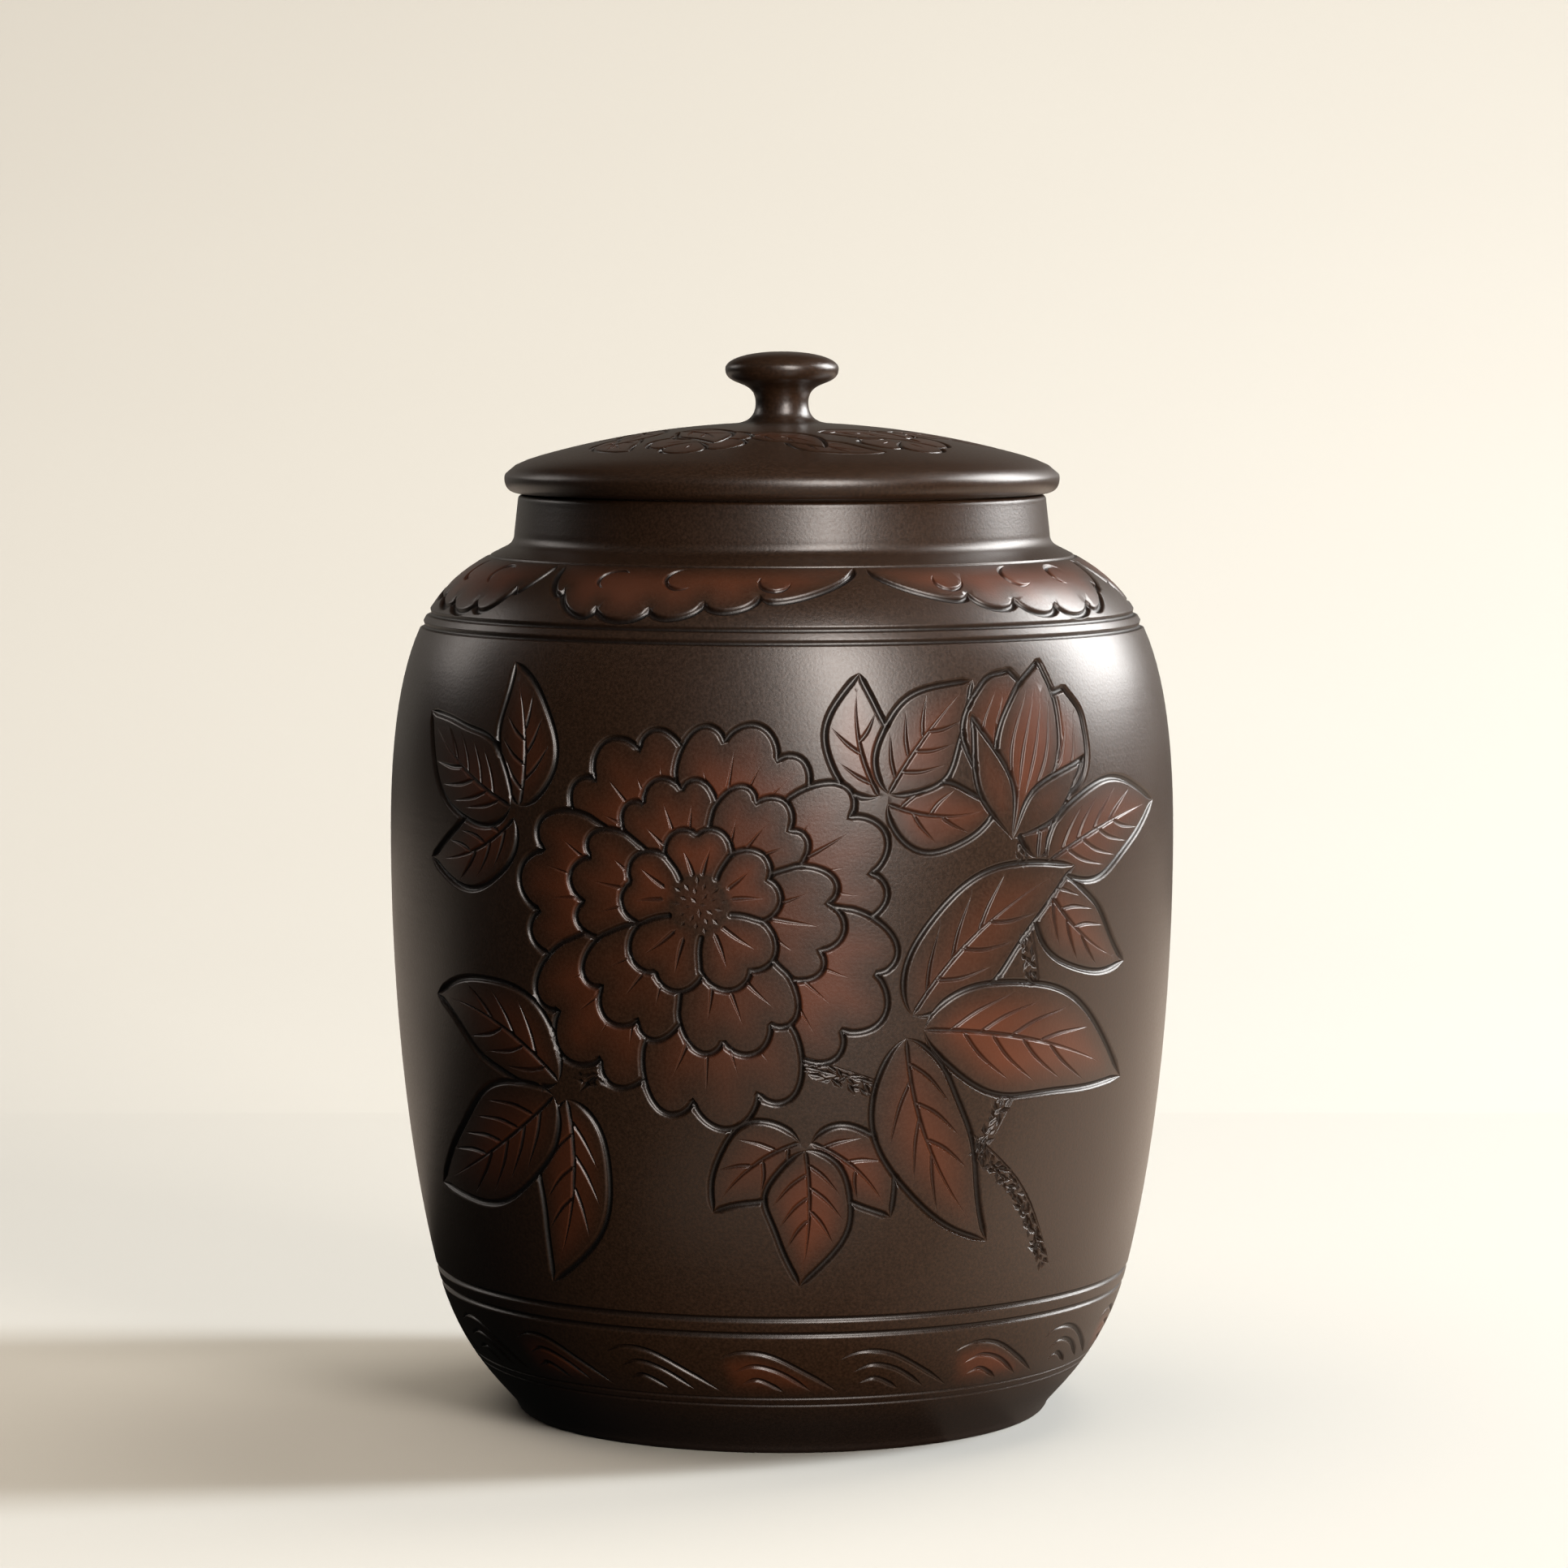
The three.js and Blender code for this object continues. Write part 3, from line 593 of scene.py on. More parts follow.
def leaflet(draw, rand, base, tip, wide, bend, veins, tint, cuts=(MAIN_CUT, FINE_CUT)):
    """A long pointed leaf on a bent rib, with side veins that sweep towards its tip."""
    way = tip - base
    length = np.hypot(*way)
    across = np.array([-way[1], way[0]]) / length
    rib = curve(base, base + way * 0.5 + across * 2 * bend * length, tip, steps=LEAF_STEPS)
    share = np.linspace(0, 1, len(rib))
    run = np.gradient(rib, axis=0)
    side_way = np.column_stack([-run[:, 1], run[:, 0]]) / np.hypot(*run.T)[:, None]
    rise, fall = LEAF_SWELL
    swell = share**rise * (1 - share) ** fall / LEAF_SWELL_MOST
    edges = []
    for side in (1, -1):
        wave = 1 + LEAF_WAVE * np.sin(2 * np.pi * (LEAF_WAVES * share + side / 4))
        edges.append(rib + side_way * (side * wide * swell * wave)[:, None])
    for edge in edges:
        draw.stroke(edge, cuts[0], LEAF_TAPER)
    draw.stroke(rib[: int(len(rib) * RIB_LENGTH)], cuts[1] * RIB_CUT, RIB_TAPER)
    last = len(rib) - 1
    for i in range(veins):
        for number, edge in enumerate(edges):
            start = int((VEIN_FIRST + VEIN_SPAN * (i + VEIN_STAGGER * number) / veins) * last)
            end = min(last, start + int(VEIN_RUN * last))
            stop = rib[end] + (edge[end] - rib[end]) * rand.uniform(*VEIN_REACH)
            bow = run[start] / np.hypot(*run[start]) * length * VEIN_BOW
            middle = rib[start] * 0.5 + stop * 0.5 - bow
            draw.stroke(smooth([rib[start], middle, stop]), cuts[1], VEIN_TAPER)
    draw.shape(np.vstack([edges[0], edges[1][::-1]]), tint)


def leaf(draw, rand, base, heading, length, wide, veins):
    """Three leaflets on one stalk, the middle one in front."""
    def way(degrees, share):
        angle = math.radians(heading + degrees)
        return base + np.array([math.cos(angle), math.sin(angle)]) * share * length

    for base_way, base_reach, tip_way, tip_reach, width, bend, fewer, tint in LEAFLETS:
        low, high = way(base_way, base_reach), way(tip_way, tip_reach)
        leaflet(draw, rand, low, high, wide * width, bend, veins - fewer, tint)


def stem(draw, rand, points, wide):
    """A rough stem of pricked marks, with one fine line beside it."""
    line = smooth(points, STEM_STEP)
    run = np.gradient(line, axis=0)
    across = np.column_stack([-run[:, 1], run[:, 0]]) / np.hypot(*run.T)[:, None]
    draw.stroke(line - across * wide * STEM_LINE_PLACE, STEM_LINE_CUT, STEM_LINE_TAPER)
    for place, way, side in zip(line, run, across):
        if any(inside(place[None], shape)[0] for shape in draw.shapes):
            continue
        angle = math.atan2(way[1], way[0])
        for row in STEM_ROWS:
            spot = place + side * (row * wide + rand.uniform(-STEM_STRAY_ACROSS, STEM_STRAY_ACROSS))
            spot = spot + way * rand.uniform(-STEM_STRAY_ALONG, STEM_STRAY_ALONG)
            stray = rand.uniform(-STEM_STRAY_TURN, STEM_STRAY_TURN)
            pit(draw, rand, spot, angle + stray, rand.uniform(*STEM_PIT_SIZE))


def bud(draw, rand, centre, heading, size):
    """A closed flower: two sepals in front of three folded petals."""
    angle = math.radians(heading)
    for side in (1, -1):
        halves = [smooth(np.array(half) * (1, side), BUD_STEP) for half in (SEPAL_OUT, SEPAL_BACK)]
        sepal = turned(np.vstack(halves), angle, centre, size)
        draw.stroke(sepal, MAIN_CUT)
        draw.shape(sepal, SEPAL_TINT)
    for low, high, tip in FOLDS:
        middle = (low + high) / 2
        folded = np.vstack([
            smooth([(-0.5, 0), (0.1, low), (0.6, low * 0.75 + middle * 0.25), (tip, middle)], BUD_STEP),
            smooth([(tip, middle), (0.6, high * 0.75 + middle * 0.25), (0.1, high), (-0.5, 0)], BUD_STEP),
        ])
        folded = turned(folded, angle, centre, size)
        draw.stroke(folded, MAIN_CUT)
        for k in range(FOLD_LINES):
            y = low + (high - low) * (k + 1) / (FOLD_LINES + 1)
            fine = [(-0.2, y * 0.5), (0.2, y * 0.95), (0.62 * tip + 0.1, y * 0.6 + middle * 0.4)]
            draw.stroke(turned(smooth(fine, BUD_STEP), angle, centre, size), FINE_CUT, FOLD_LINE_TAPER)
        draw.shape(folded, FOLD_TINT)


def spray(seed):
    """One flowering branch: a bloom, a bud, leaves and rough stems."""
    rand = random.Random(seed)
    draw = Drawing()
    unit = BELLY_RADIUS
    bloom(draw, rand, np.array(BLOOM_PLACE) * unit, BLOOM_SIZE * unit, BLOOM_TILT)
    bud(draw, rand, np.array(BUD_PLACE) * unit, BUD_HEADING, BUD_SIZE * unit)
    for place, heading, length, wide, veins in LEAVES:
        leaf(draw, rand, np.array(place) * unit, heading, length * unit, wide * unit, veins)
    for points in STEMS:
        stem(draw, rand, np.array(points) * unit, STEM_HALF)
    return draw


def lay(draw, other, centre, side):
    """Adds another drawing, moved round to a centre. Side -1 mirrors it."""
    def moved(points):
        return points * (side, 1) + (centre, 0)

    draw.strokes += [(moved(line), halves) for line, halves in other.strokes]
    draw.tints += [(moved(outline), tint) for outline, tint in other.tints]


# Bands of the wall

COLLAR_COUNT = 6
COLLAR_SHIFT = 0.24
# Where the scallops meet: share of the lappet, and share of its drop
COLLAR_CUSPS = (
    (0.02, 0.05), (0.1, 0.55), (0.24, 0.86), (0.4, 0.86), (0.55, 0.74), (0.7, 0.62), (0.98, 0.04),
)
COLLAR_BULGES = (0.38, 0.4, 0.32, 0.32, 0.32, 0.4)
# Curls in a lappet: share of the lappet, share of its drop, size, and the turn that each starts at
COLLAR_CURLS = ((0.25, 0.34, 3.6, 0.4), (0.47, 0.3, 3.8, 1.3), (0.74, 0.36, 3.2, 2.2))
COLLAR_CUT = 1.3
SCALLOP_STEPS = 16
SCALLOP_TAPER = (0.12, 0.06)
CURL_CUT = 0.95
CURL_SWEEP = np.linspace(0.3, 4.0, 14)
CURL_TAPER = (0.3, 0.3)
COLLAR_TINT = 0.85


def collar(draw, top, drop, turn):
    """Hanging cloud-edged lappets round the shoulder, in mirrored pairs, with small curls inside."""
    pitch = turn / COLLAR_COUNT
    widen = np.array([BELLY_RADIUS / NECK_RADIUS, 1])
    for number in range(COLLAR_COUNT):
        start = (number - COLLAR_COUNT / 2 + COLLAR_SHIFT) * pitch
        mirrored = number % 2 == 1

        def at(share, depth):
            return np.array([start + pitch * (1 - share if mirrored else share), top - depth * drop])

        scallops = []
        for a, b, bulge in zip(COLLAR_CUSPS, COLLAR_CUSPS[1:], COLLAR_BULGES):
            first, last = (at(*b), at(*a)) if mirrored else (at(*a), at(*b))
            pull = np.array([0, -bulge * drop])
            scallops.append(curve(first, first + pull, last + pull, last, steps=SCALLOP_STEPS))
            draw.stroke(scallops[-1], COLLAR_CUT, SCALLOP_TAPER)
        edge = np.vstack(scallops[::-1] if mirrored else scallops)
        for share, depth, size, turned_by in COLLAR_CURLS:
            way = CURL_SWEEP + turned_by
            curl = np.column_stack([np.cos(way), np.sin(way)]) * (widen * size)
            draw.stroke(at(share, depth) + curl, CURL_CUT, CURL_TAPER)
        draw.shape(np.vstack([edge, (edge[-1][0], top), (edge[0][0], top)]), COLLAR_TINT)


WAVE_COUNT = 18
WAVE_SHIFT = 0.45
WAVE_RISE = 1.6
WAVE_CUT = 0.95
WAVE_TAPER = (0.3, 0.2)
# Arcs of one group, in belly radii
WAVE_ARCS = (
    ((0, 0.1), (0.07, 0.123), (0.16, 0.113), (0.27, 0.058), (0.36, 0.005)),
    ((0.046, 0.064), (0.108, 0.084), (0.186, 0.065), (0.28, 0.008)),
    ((0.072, 0.031), (0.124, 0.042), (0.197, 0.007)),
)
WAVE_FOOT = (0.04, 0)
WAVE_TINT = 0.8


def waves(draw, low, turn):
    """Groups of three sweeping arcs round the hip, every other group reddened."""
    pitch = turn / WAVE_COUNT
    for number in range(WAVE_COUNT):
        start = np.array([(number - WAVE_COUNT / 2 + WAVE_SHIFT) * pitch, low])
        arcs = [smooth(np.array(arc) * BELLY_RADIUS + start) for arc in WAVE_ARCS]
        for arc in arcs:
            draw.stroke(arc, WAVE_CUT, WAVE_TAPER)
        if number % 2 == 0:
            foot = start + np.array(WAVE_FOOT) * BELLY_RADIUS
            draw.tints.append((np.vstack([arcs[0], foot]), WAVE_TINT))


# Wreath of the lid, as seen from above: it is drawn small and then spread
WREATH_COUNT = 5
WREATH_SPREAD = 1.16
WREATH_SEED = 4
WREATH_SHIFT = 0.35
WREATH_RADIUS = 35
WREATH_CUT = 0.85
WREATH_FINE_CUT = 0.55
# Petals of a flower: pulls of one side, out from the middle, and the ends of the fine line
WREATH_PETALS = 5
WREATH_PETAL_SIDE = np.array([(1.5, 0), (5, -7.5), (11.5, -5.5), (11, 0)])
WREATH_PETAL_TINT = 0.28
WREATH_LINE = ((3.5, 0), (7.5, 0.4))
WREATH_LINE_CUT = 0.45
WREATH_LINE_TAPER = (0.3, 0.5)
# Leaves between two flowers: share of the way, distance from the axis, bend. Ends are out and round
WREATH_LEAVES = ((0.36, 34, 0.16), (0.6, 38, -0.14), (0.86, 30, 0.12))
WREATH_LEAF_ENDS = ((-5, -7), (6, 11))
WREATH_LEAF_HALF = 5.2
WREATH_LEAF_VEINS = 2
WREATH_LEAF_TINT = 0.26


def wreath(draw, plan):
    """A ring of small flowers and leaves on the lid; plan turns a place seen from above into (u, v)."""
    rand = random.Random(WREATH_SEED)
    flat = Drawing()
    sides = (WREATH_PETAL_SIDE, WREATH_PETAL_SIDE[::-1] * (1, -1))
    one_petal = np.vstack([curve(*side, steps=12) for side in sides])
    line = curve(*WREATH_LINE, steps=6)
    cuts = (WREATH_CUT, WREATH_FINE_CUT)
    for number in range(WREATH_COUNT):
        way = (number + WREATH_SHIFT) * 2 * math.pi / WREATH_COUNT
        spot = turned([(WREATH_RADIUS, 0)], way, (0, 0))[0]
        for k in range(WREATH_PETALS):
            angle = way + k * 2 * math.pi / WREATH_PETALS
            outline = turned(one_petal, angle, spot)
            flat.stroke(outline, WREATH_CUT)
            flat.stroke(turned(line, angle, spot), WREATH_LINE_CUT, WREATH_LINE_TAPER)
            flat.shape(outline, WREATH_PETAL_TINT)
        for turn, reach, bend in WREATH_LEAVES:
            ahead = way + turn * 2 * math.pi / WREATH_COUNT
            base, tip = (turned([(reach + x, y)], ahead, (0, 0))[0] for x, y in WREATH_LEAF_ENDS)
            leaflet(flat, rand, base, tip, WREATH_LEAF_HALF, bend, WREATH_LEAF_VEINS, WREATH_LEAF_TINT, cuts)
    draw.strokes += [(plan(line * WREATH_SPREAD), halves) for line, halves in flat.strokes]
    draw.tints += [(plan(outline * WREATH_SPREAD), tint) for outline, tint in flat.tints]


# Cutting of a drawing into a turned face


def wrapped(strokes, tints, turn):
    """The strokes and tints, and a copy on the other side of each that crosses the seam at the back."""
    strokes, tints = list(strokes), list(tints)
    for items in (strokes, tints):
        for points, value in list(items):
            for shift in (-turn, turn):
                moved = points + np.array([shift, 0])
                if moved[:, 0].min() < turn / 2 and moved[:, 0].max() > -turn / 2:
                    items.append((moved, value))
    return strokes, tints


def nearest(points, shares, line):
    """Nearest point of a line to each point: distance, way from it and place along it. Shares scale u."""
    stretch = np.column_stack([shares, np.ones(len(shares))])[:, None]
    run = np.diff(line, axis=0) * stretch
    offset = points[:, None] * stretch - line[:-1] * stretch
    place = np.sum(offset * run, axis=2) / np.maximum(np.sum(run * run, axis=2), SAME_POINT)
    place = np.clip(place, 0, 1)
    offset = offset - run * place[:, :, None]
    far = np.hypot(offset[:, :, 0], offset[:, :, 1])
    best = np.argmin(far, axis=1)
    row = np.arange(len(points))
    return far[row, best], offset[row, best], best + place[row, best]


class Finder:
    """Finds the points that lie near a line of points."""

    def __init__(self, points):
        self.points = points
        self.order = np.argsort(points[:, 0])
        self.round_it = points[self.order, 0]

    def close_to(self, line, reach):
        low, high = line.min(0) - reach, line.max(0) + reach
        first, last = np.searchsorted(self.round_it, (low[0], high[0]))
        window = self.order[first:last]
        return window[near(self.points[window], low, high)]


def cut_into(points, shares, strokes):
    """Depth of the cuts at each point, how the depth changes round and along, and the gap to a cut."""
    depth = np.zeros(len(points))
    change = np.zeros((len(points), 2))
    gap = np.full(len(points), np.inf)
    finder = Finder(points)
    for line, halves in strokes:
        close = finder.close_to(line, CUT_REACH)
        if not len(close):
            continue
        far, away, place = nearest(points[close], shares[close], line)
        half = np.interp(place, np.arange(len(line)), halves)
        gap[close] = np.minimum(gap[close], far - half)
        share = np.minimum(far / half, 1)
        steep = CUT_DEPTH * np.minimum(half / RUN_OUT, 1) ** 2
        here = half * steep * 0.5 * (1 + np.cos(np.pi * share))
        slope = -steep * math.pi / 2 * np.sin(np.pi * share)
        deeper = here > depth[close]
        chosen = close[deeper]
        depth[chosen] = here[deeper]
        unit = away[deeper] / np.maximum(far[deeper], SAME_POINT)[:, None]
        change[chosen] = unit * slope[deeper][:, None]
    return depth, change, gap


def tint_over(points, shares, tints, soft):
    """How strongly each point is reddened: full well inside a shape, fading towards its outline."""
    tint = np.zeros(len(points))
    bare = np.ones(len(points))
    finder = Finder(points)
    for outline, strength in tints:
        close = finder.close_to(outline, CUT_REACH)
        close = close[bare[close] > 0]
        if not len(close):
            continue
        far, _, _ = nearest(points[close], shares[close], np.vstack([outline, outline[:1]]))
        signed = np.where(inside(points[close], outline), far, -far)
        covers = np.clip(0.5 + signed / (2 * TINT_SOFT_EDGE), 0, 1)
        reach = min(soft, TINT_REACH * np.ptp(outline, axis=0).min())
        depth = np.clip(signed / reach, 0, 1)
        level = strength * (TINT_AT_EDGE + (1 - TINT_AT_EDGE) * depth * depth * (3 - 2 * depth))
        tint[close] += bare[close] * covers * level
        bare[close] *= 1 - covers
    return tint


class Net:
    """Points and joined lines of points, to be filled with triangles."""

    def __init__(self):
        self.points = []
        self.edges = []

    def add(self, line, joined=True):
        first = len(self.points)
        self.points.extend(map(tuple, line))
        if joined:
            self.edges.extend((k, k + 1) for k in range(first, len(self.points) - 1))


def offset_line(outline, radius, line, halves, share):
    """A line beside a stroke, a share of its half width away on the turned face."""
    shrink = outline.at(line[:, 1])[0] / radius
    run = np.gradient(line, axis=0) * np.column_stack([shrink, np.ones(len(line))])
    run /= np.hypot(*run.T)[:, None]
    across = np.column_stack([-run[:, 1] / shrink, run[:, 0]])
    return line + across * (halves * share)[:, None]


def cap_line(outline, radius, end, before, reach):
    """Half a circle round the blunt end of a stroke."""
    shrink = outline.at(end[1])[0] / radius
    way = (end - before) * (shrink, 1)
    angles = math.atan2(way[1], way[0]) + np.linspace(-math.pi / 2, math.pi / 2, CAP_STEPS + 1)[1:-1]
    return end + reach * np.column_stack([np.cos(angles) / shrink, np.sin(angles)])


def placed(outline, radius, points, depth, change):
    """Places on the turned face and the way that the surface faces there, after cutting."""
    reach, height, out, up = outline.at(points[:, 1])
    angle = points[:, 0] / radius
    sine, cosine = np.sin(angle), np.cos(angle)
    reach = reach - depth * out
    height = height - depth * up
    places = np.column_stack([reach * sine, -reach * cosine, height])
    facing = np.column_stack([out * sine, -out * cosine, up])
    facing += change[:, :1] * np.column_stack([cosine, sine, 0 * sine])
    facing += change[:, 1:] * np.column_stack([-up * sine, up * cosine, out])
    return places, facing / np.linalg.norm(facing, axis=1)[:, None]


def net_of(outline, radius, low, high, strokes, lines):
    """Points and triangles of a stretch of a face, laid flat, with rows of points along each cut."""
    turn = 2 * math.pi * radius
    round_it = np.linspace(-turn / 2, turn / 2, TURN_STEPS + 1)
    net = Net()
    for middle, half, _ in lines:
        for share in CUT_SHARES:
            net.add(np.column_stack([round_it, np.full(len(round_it), middle + share * half)]))
    for v in (low, high):
        net.add(np.column_stack([round_it, np.full(len(round_it), v)]))
    levels = np.linspace(low, high, round((high - low) / ROW_STEP) + 1)[1:-1]
    levels = [v for v in levels if all(abs(v - middle) > half + CUT_CLEARANCE for middle, half, _ in lines)]
    grid = np.array([(u, v) for v in levels for u in round_it])
    clear = cut_into(grid, outline.at(grid[:, 1])[0] / radius, strokes)[2] > CUT_CLEARANCE
    clear |= np.abs(grid[:, 0]) == turn / 2
    net.add(grid[clear], joined=False)
    for line, halves in strokes:
        for share in CUT_SHARES:
            net.add(offset_line(outline, radius, line, halves, share))
        for end, before, half in ((line[0], line[1], halves[0]), (line[-1], line[-2], halves[-1])):
            if half > LEAST_CAP:
                for share in CAP_SHARES:
                    net.add(cap_line(outline, radius, end, before, half * share))
    edges = net.edges + seam_edges(net.points, turn)
    found = delaunay_2d_cdt([Vector(p) for p in net.points], edges, [], 0, NET_MERGE, False)
    points = np.array([tuple(p) for p in found[0]])
    faces = np.array(found[2])
    centres = points[faces].mean(axis=1)
    within = (np.abs(centres[:, 0]) < turn / 2) & (centres[:, 1] > low) & (centres[:, 1] < high)
    used, faces = np.unique(faces[within], return_inverse=True)
    return points[used], faces.reshape(-1, 3).tolist()


def carved_part(outline, radius, low, high, drawing, lines, soft):
    """The stretch of a turned face from low to high, with the drawing and the turned lines cut in."""
    strokes, tints = wrapped(drawing.strokes, drawing.tints, 2 * math.pi * radius)
    points, faces = net_of(outline, radius, low, high, strokes, lines)
    shares = outline.at(points[:, 1])[0] / radius
    depth, change, _ = cut_into(points, shares, strokes)
    for middle, half, cut in lines:
        share = np.clip((points[:, 1] - middle) / half, -1, 1)
        here = half * cut * 0.5 * (1 + np.cos(np.pi * share))
        deeper = here > depth
        depth[deeper] = here[deeper]
        slope = -cut * math.pi / 2 * np.sin(np.pi * share[deeper])
        change[deeper] = np.column_stack([0 * slope, slope])
    places, facing = placed(outline, radius, points, depth, change)
    return {
        "places": places,
        "facing": facing,
        "faces": faces,
        "tint": tint_over(points, shares, tints, soft),
        "cut": depth,
        "raw": np.zeros(len(points)),
    }


def seam_edges(points, turn):
    """Edges up both sides of the seam, joining the ends of the rows."""
    edges = []
    for side in (-turn / 2, turn / 2):
        ends = sorted((p[1], k) for k, p in enumerate(points) if p[0] == side)
        edges += [(a[1], b[1]) for a, b in zip(ends, ends[1:])]
    return edges


def plain_part(outline, low, high, steps=TURN_STEPS, raw_below=-math.inf, raw_above=math.inf):
    """The stretch of a turned face from low to high, left smooth. The clay is bare beyond two places."""
    along = outline.along[(outline.along > low) & (outline.along < high)]
    along = np.concatenate([[low], along, [high]])
    turn = 2 * math.pi
    round_it = np.linspace(-turn / 2, turn / 2, steps + 1)
    points = np.column_stack([np.tile(round_it, len(along)), np.repeat(along, steps + 1)])
    places, facing = placed(outline, 1, points, np.zeros(len(points)), np.zeros((len(points), 2)))
    width = steps + 1
    faces = [
        (row * width + k, row * width + k + 1, (row + 1) * width + k + 1, (row + 1) * width + k)
        for row in range(len(along) - 1)
        for k in range(steps)
    ]
    zeros = np.zeros(len(points))
    return {
        "places": places,
        "facing": facing,
        "faces": faces,
        "tint": zeros,
        "cut": zeros,
        "raw": np.repeat(((along < raw_below) | (along > raw_above)) * 1.0, width),
    }


def piece_of(name, parts, material, body, node):
    """One object from parts of a turned face, welded, facing as worked out, riding on its body."""
    places, faces = [], []
    for part in parts:
        first = sum(len(p) for p in places)
        faces += [tuple(first + k for k in face) for face in part["faces"]]
        places.append(part["places"] * MM)
    mesh = bpy.data.meshes.new(name)
    mesh.from_pydata(np.vstack(places).tolist(), [], faces)
    for key in ("tint", "cut", "raw"):
        values = np.concatenate([part[key] for part in parts]).astype(np.float32)
        mesh.attributes.new(key, "FLOAT", "POINT").data.foreach_set("value", values)
    ways = np.vstack([part["facing"] for part in parts]).astype(np.float32)
    mesh.attributes.new("facing", "FLOAT_VECTOR", "POINT").data.foreach_set("vector", ways.ravel())
    welded = bmesh.new()
    welded.from_mesh(mesh)
    bmesh.ops.remove_doubles(welded, verts=welded.verts, dist=WELD)
    welded.to_mesh(mesh)
    welded.free()
    mesh.polygons.foreach_set("use_smooth", [True] * len(mesh.polygons))
    ways = np.zeros(len(mesh.vertices) * 3, np.float32)
    mesh.attributes["facing"].data.foreach_get("vector", ways)
    mesh.attributes.remove(mesh.attributes["facing"])
    mesh.normals_split_custom_set_from_vertices(ways.reshape(-1, 3).tolist())
    mesh.materials.append(material)
    piece = bpy.data.objects.new(name, mesh)
    bpy.context.scene.collection.objects.link(piece)
    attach(piece, body)
    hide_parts(node)


# Materials


class Shader:
    """A material and a short way to add nodes to it."""

    def __init__(self, name):
        self.material = bpy.data.materials.new(name)
        self.material.use_nodes = True
        self.tree = self.material.node_tree
        self.surface = self.tree.nodes["Principled BSDF"]

    def node(self, kind, inputs=None, **settings):
        made = self.tree.nodes.new("ShaderNode" + kind)
        for key, value in settings.items():
            setattr(made, key, value)
        self.feed(made, inputs or {})
        return made

    def feed(self, node, inputs):
        """Links each input to a socket or sets it to a value."""
        for key, value in inputs.items():
            if isinstance(value, bpy.types.NodeSocket):
                self.tree.links.new(value, node.inputs[key])
            else:
                node.inputs[key].default_value = value

    def noise(self, vector, scale, detail=3.0):
        made = self.node("TexNoise", {"Vector": vector, "Scale": scale, "Detail": detail})
        return made.outputs["Fac"]

    def spread(self, value, low, high, to_low=0.0, to_high=1.0):
        made = self.node("MapRange", {0: value, 1: low, 2: high, 3: to_low, 4: to_high})
        return made.outputs[0]

    def maths(self, operation, a, b):
        return self.node("Math", {0: a, 1: b}, operation=operation).outputs[0]

    def mixed(self, share, a, b):
        return self.node("Mix", {0: share, 6: a, 7: b}, data_type="RGBA").outputs[2]

    def attribute(self, name):
        return self.node("Attribute", attribute_name=name).outputs["Fac"]


CLAY_DARK = (0.0100, 0.0046, 0.0021, 1)
CLAY_LIGHT = (0.0195, 0.0090, 0.0044, 1)
CLAY_RED = (0.060, 0.0156, 0.0056, 1)
CLAY_RAW = (0.070, 0.046, 0.034, 1)
# Colour of the painted shade that darkens the cuts and the foot
PAINTED_SHADE_CLAY = (0.0020, 0.0009, 0.0005, 1)
# Painted shade darkens the clay round the foot: from all of it to none, in metres above the floor
FOOT_SHADE_HEIGHTS = (0.008, 0.022)
FOOT_SHADE_SHARE = 0.7
RAW_SHARE = 0.8
# Noise of the clay, in changes a metre: grain, clouds, and the rings that turning leaves
GRAIN_SCALE = 1500
CLOUD_SCALE = 26
RING_SCALE = (9, 9, 420)
# Spreads: the least and the most that come in, and what these become
SPECKS = (0.35, 0.7)
RED_CLOUDS = (0.3, 0.7, 0.35, 1.0)
# Painted shade in the cuts: the cut depths, in millimetres, over which the darkening starts and ends
CUT_SHADE = (0.15, 0.9, 0.0, 0.85)
BURNISH = (0.7, 1.3, 0.31, 0.39)
# Roughness that bare clay, a cut one millimetre deep and the painted shade round the foot add
RAW_ROUGH = 0.3
CUT_ROUGH = 0.05
FOOT_SHADE_ROUGH = 0.2
GRAIN_RELIEF = 0.6
RING_RELIEF = 0.5
BUMP_STRENGTH = 0.24
BUMP_HEIGHT = 0.0002
CLAY_SPECULAR = 0.6


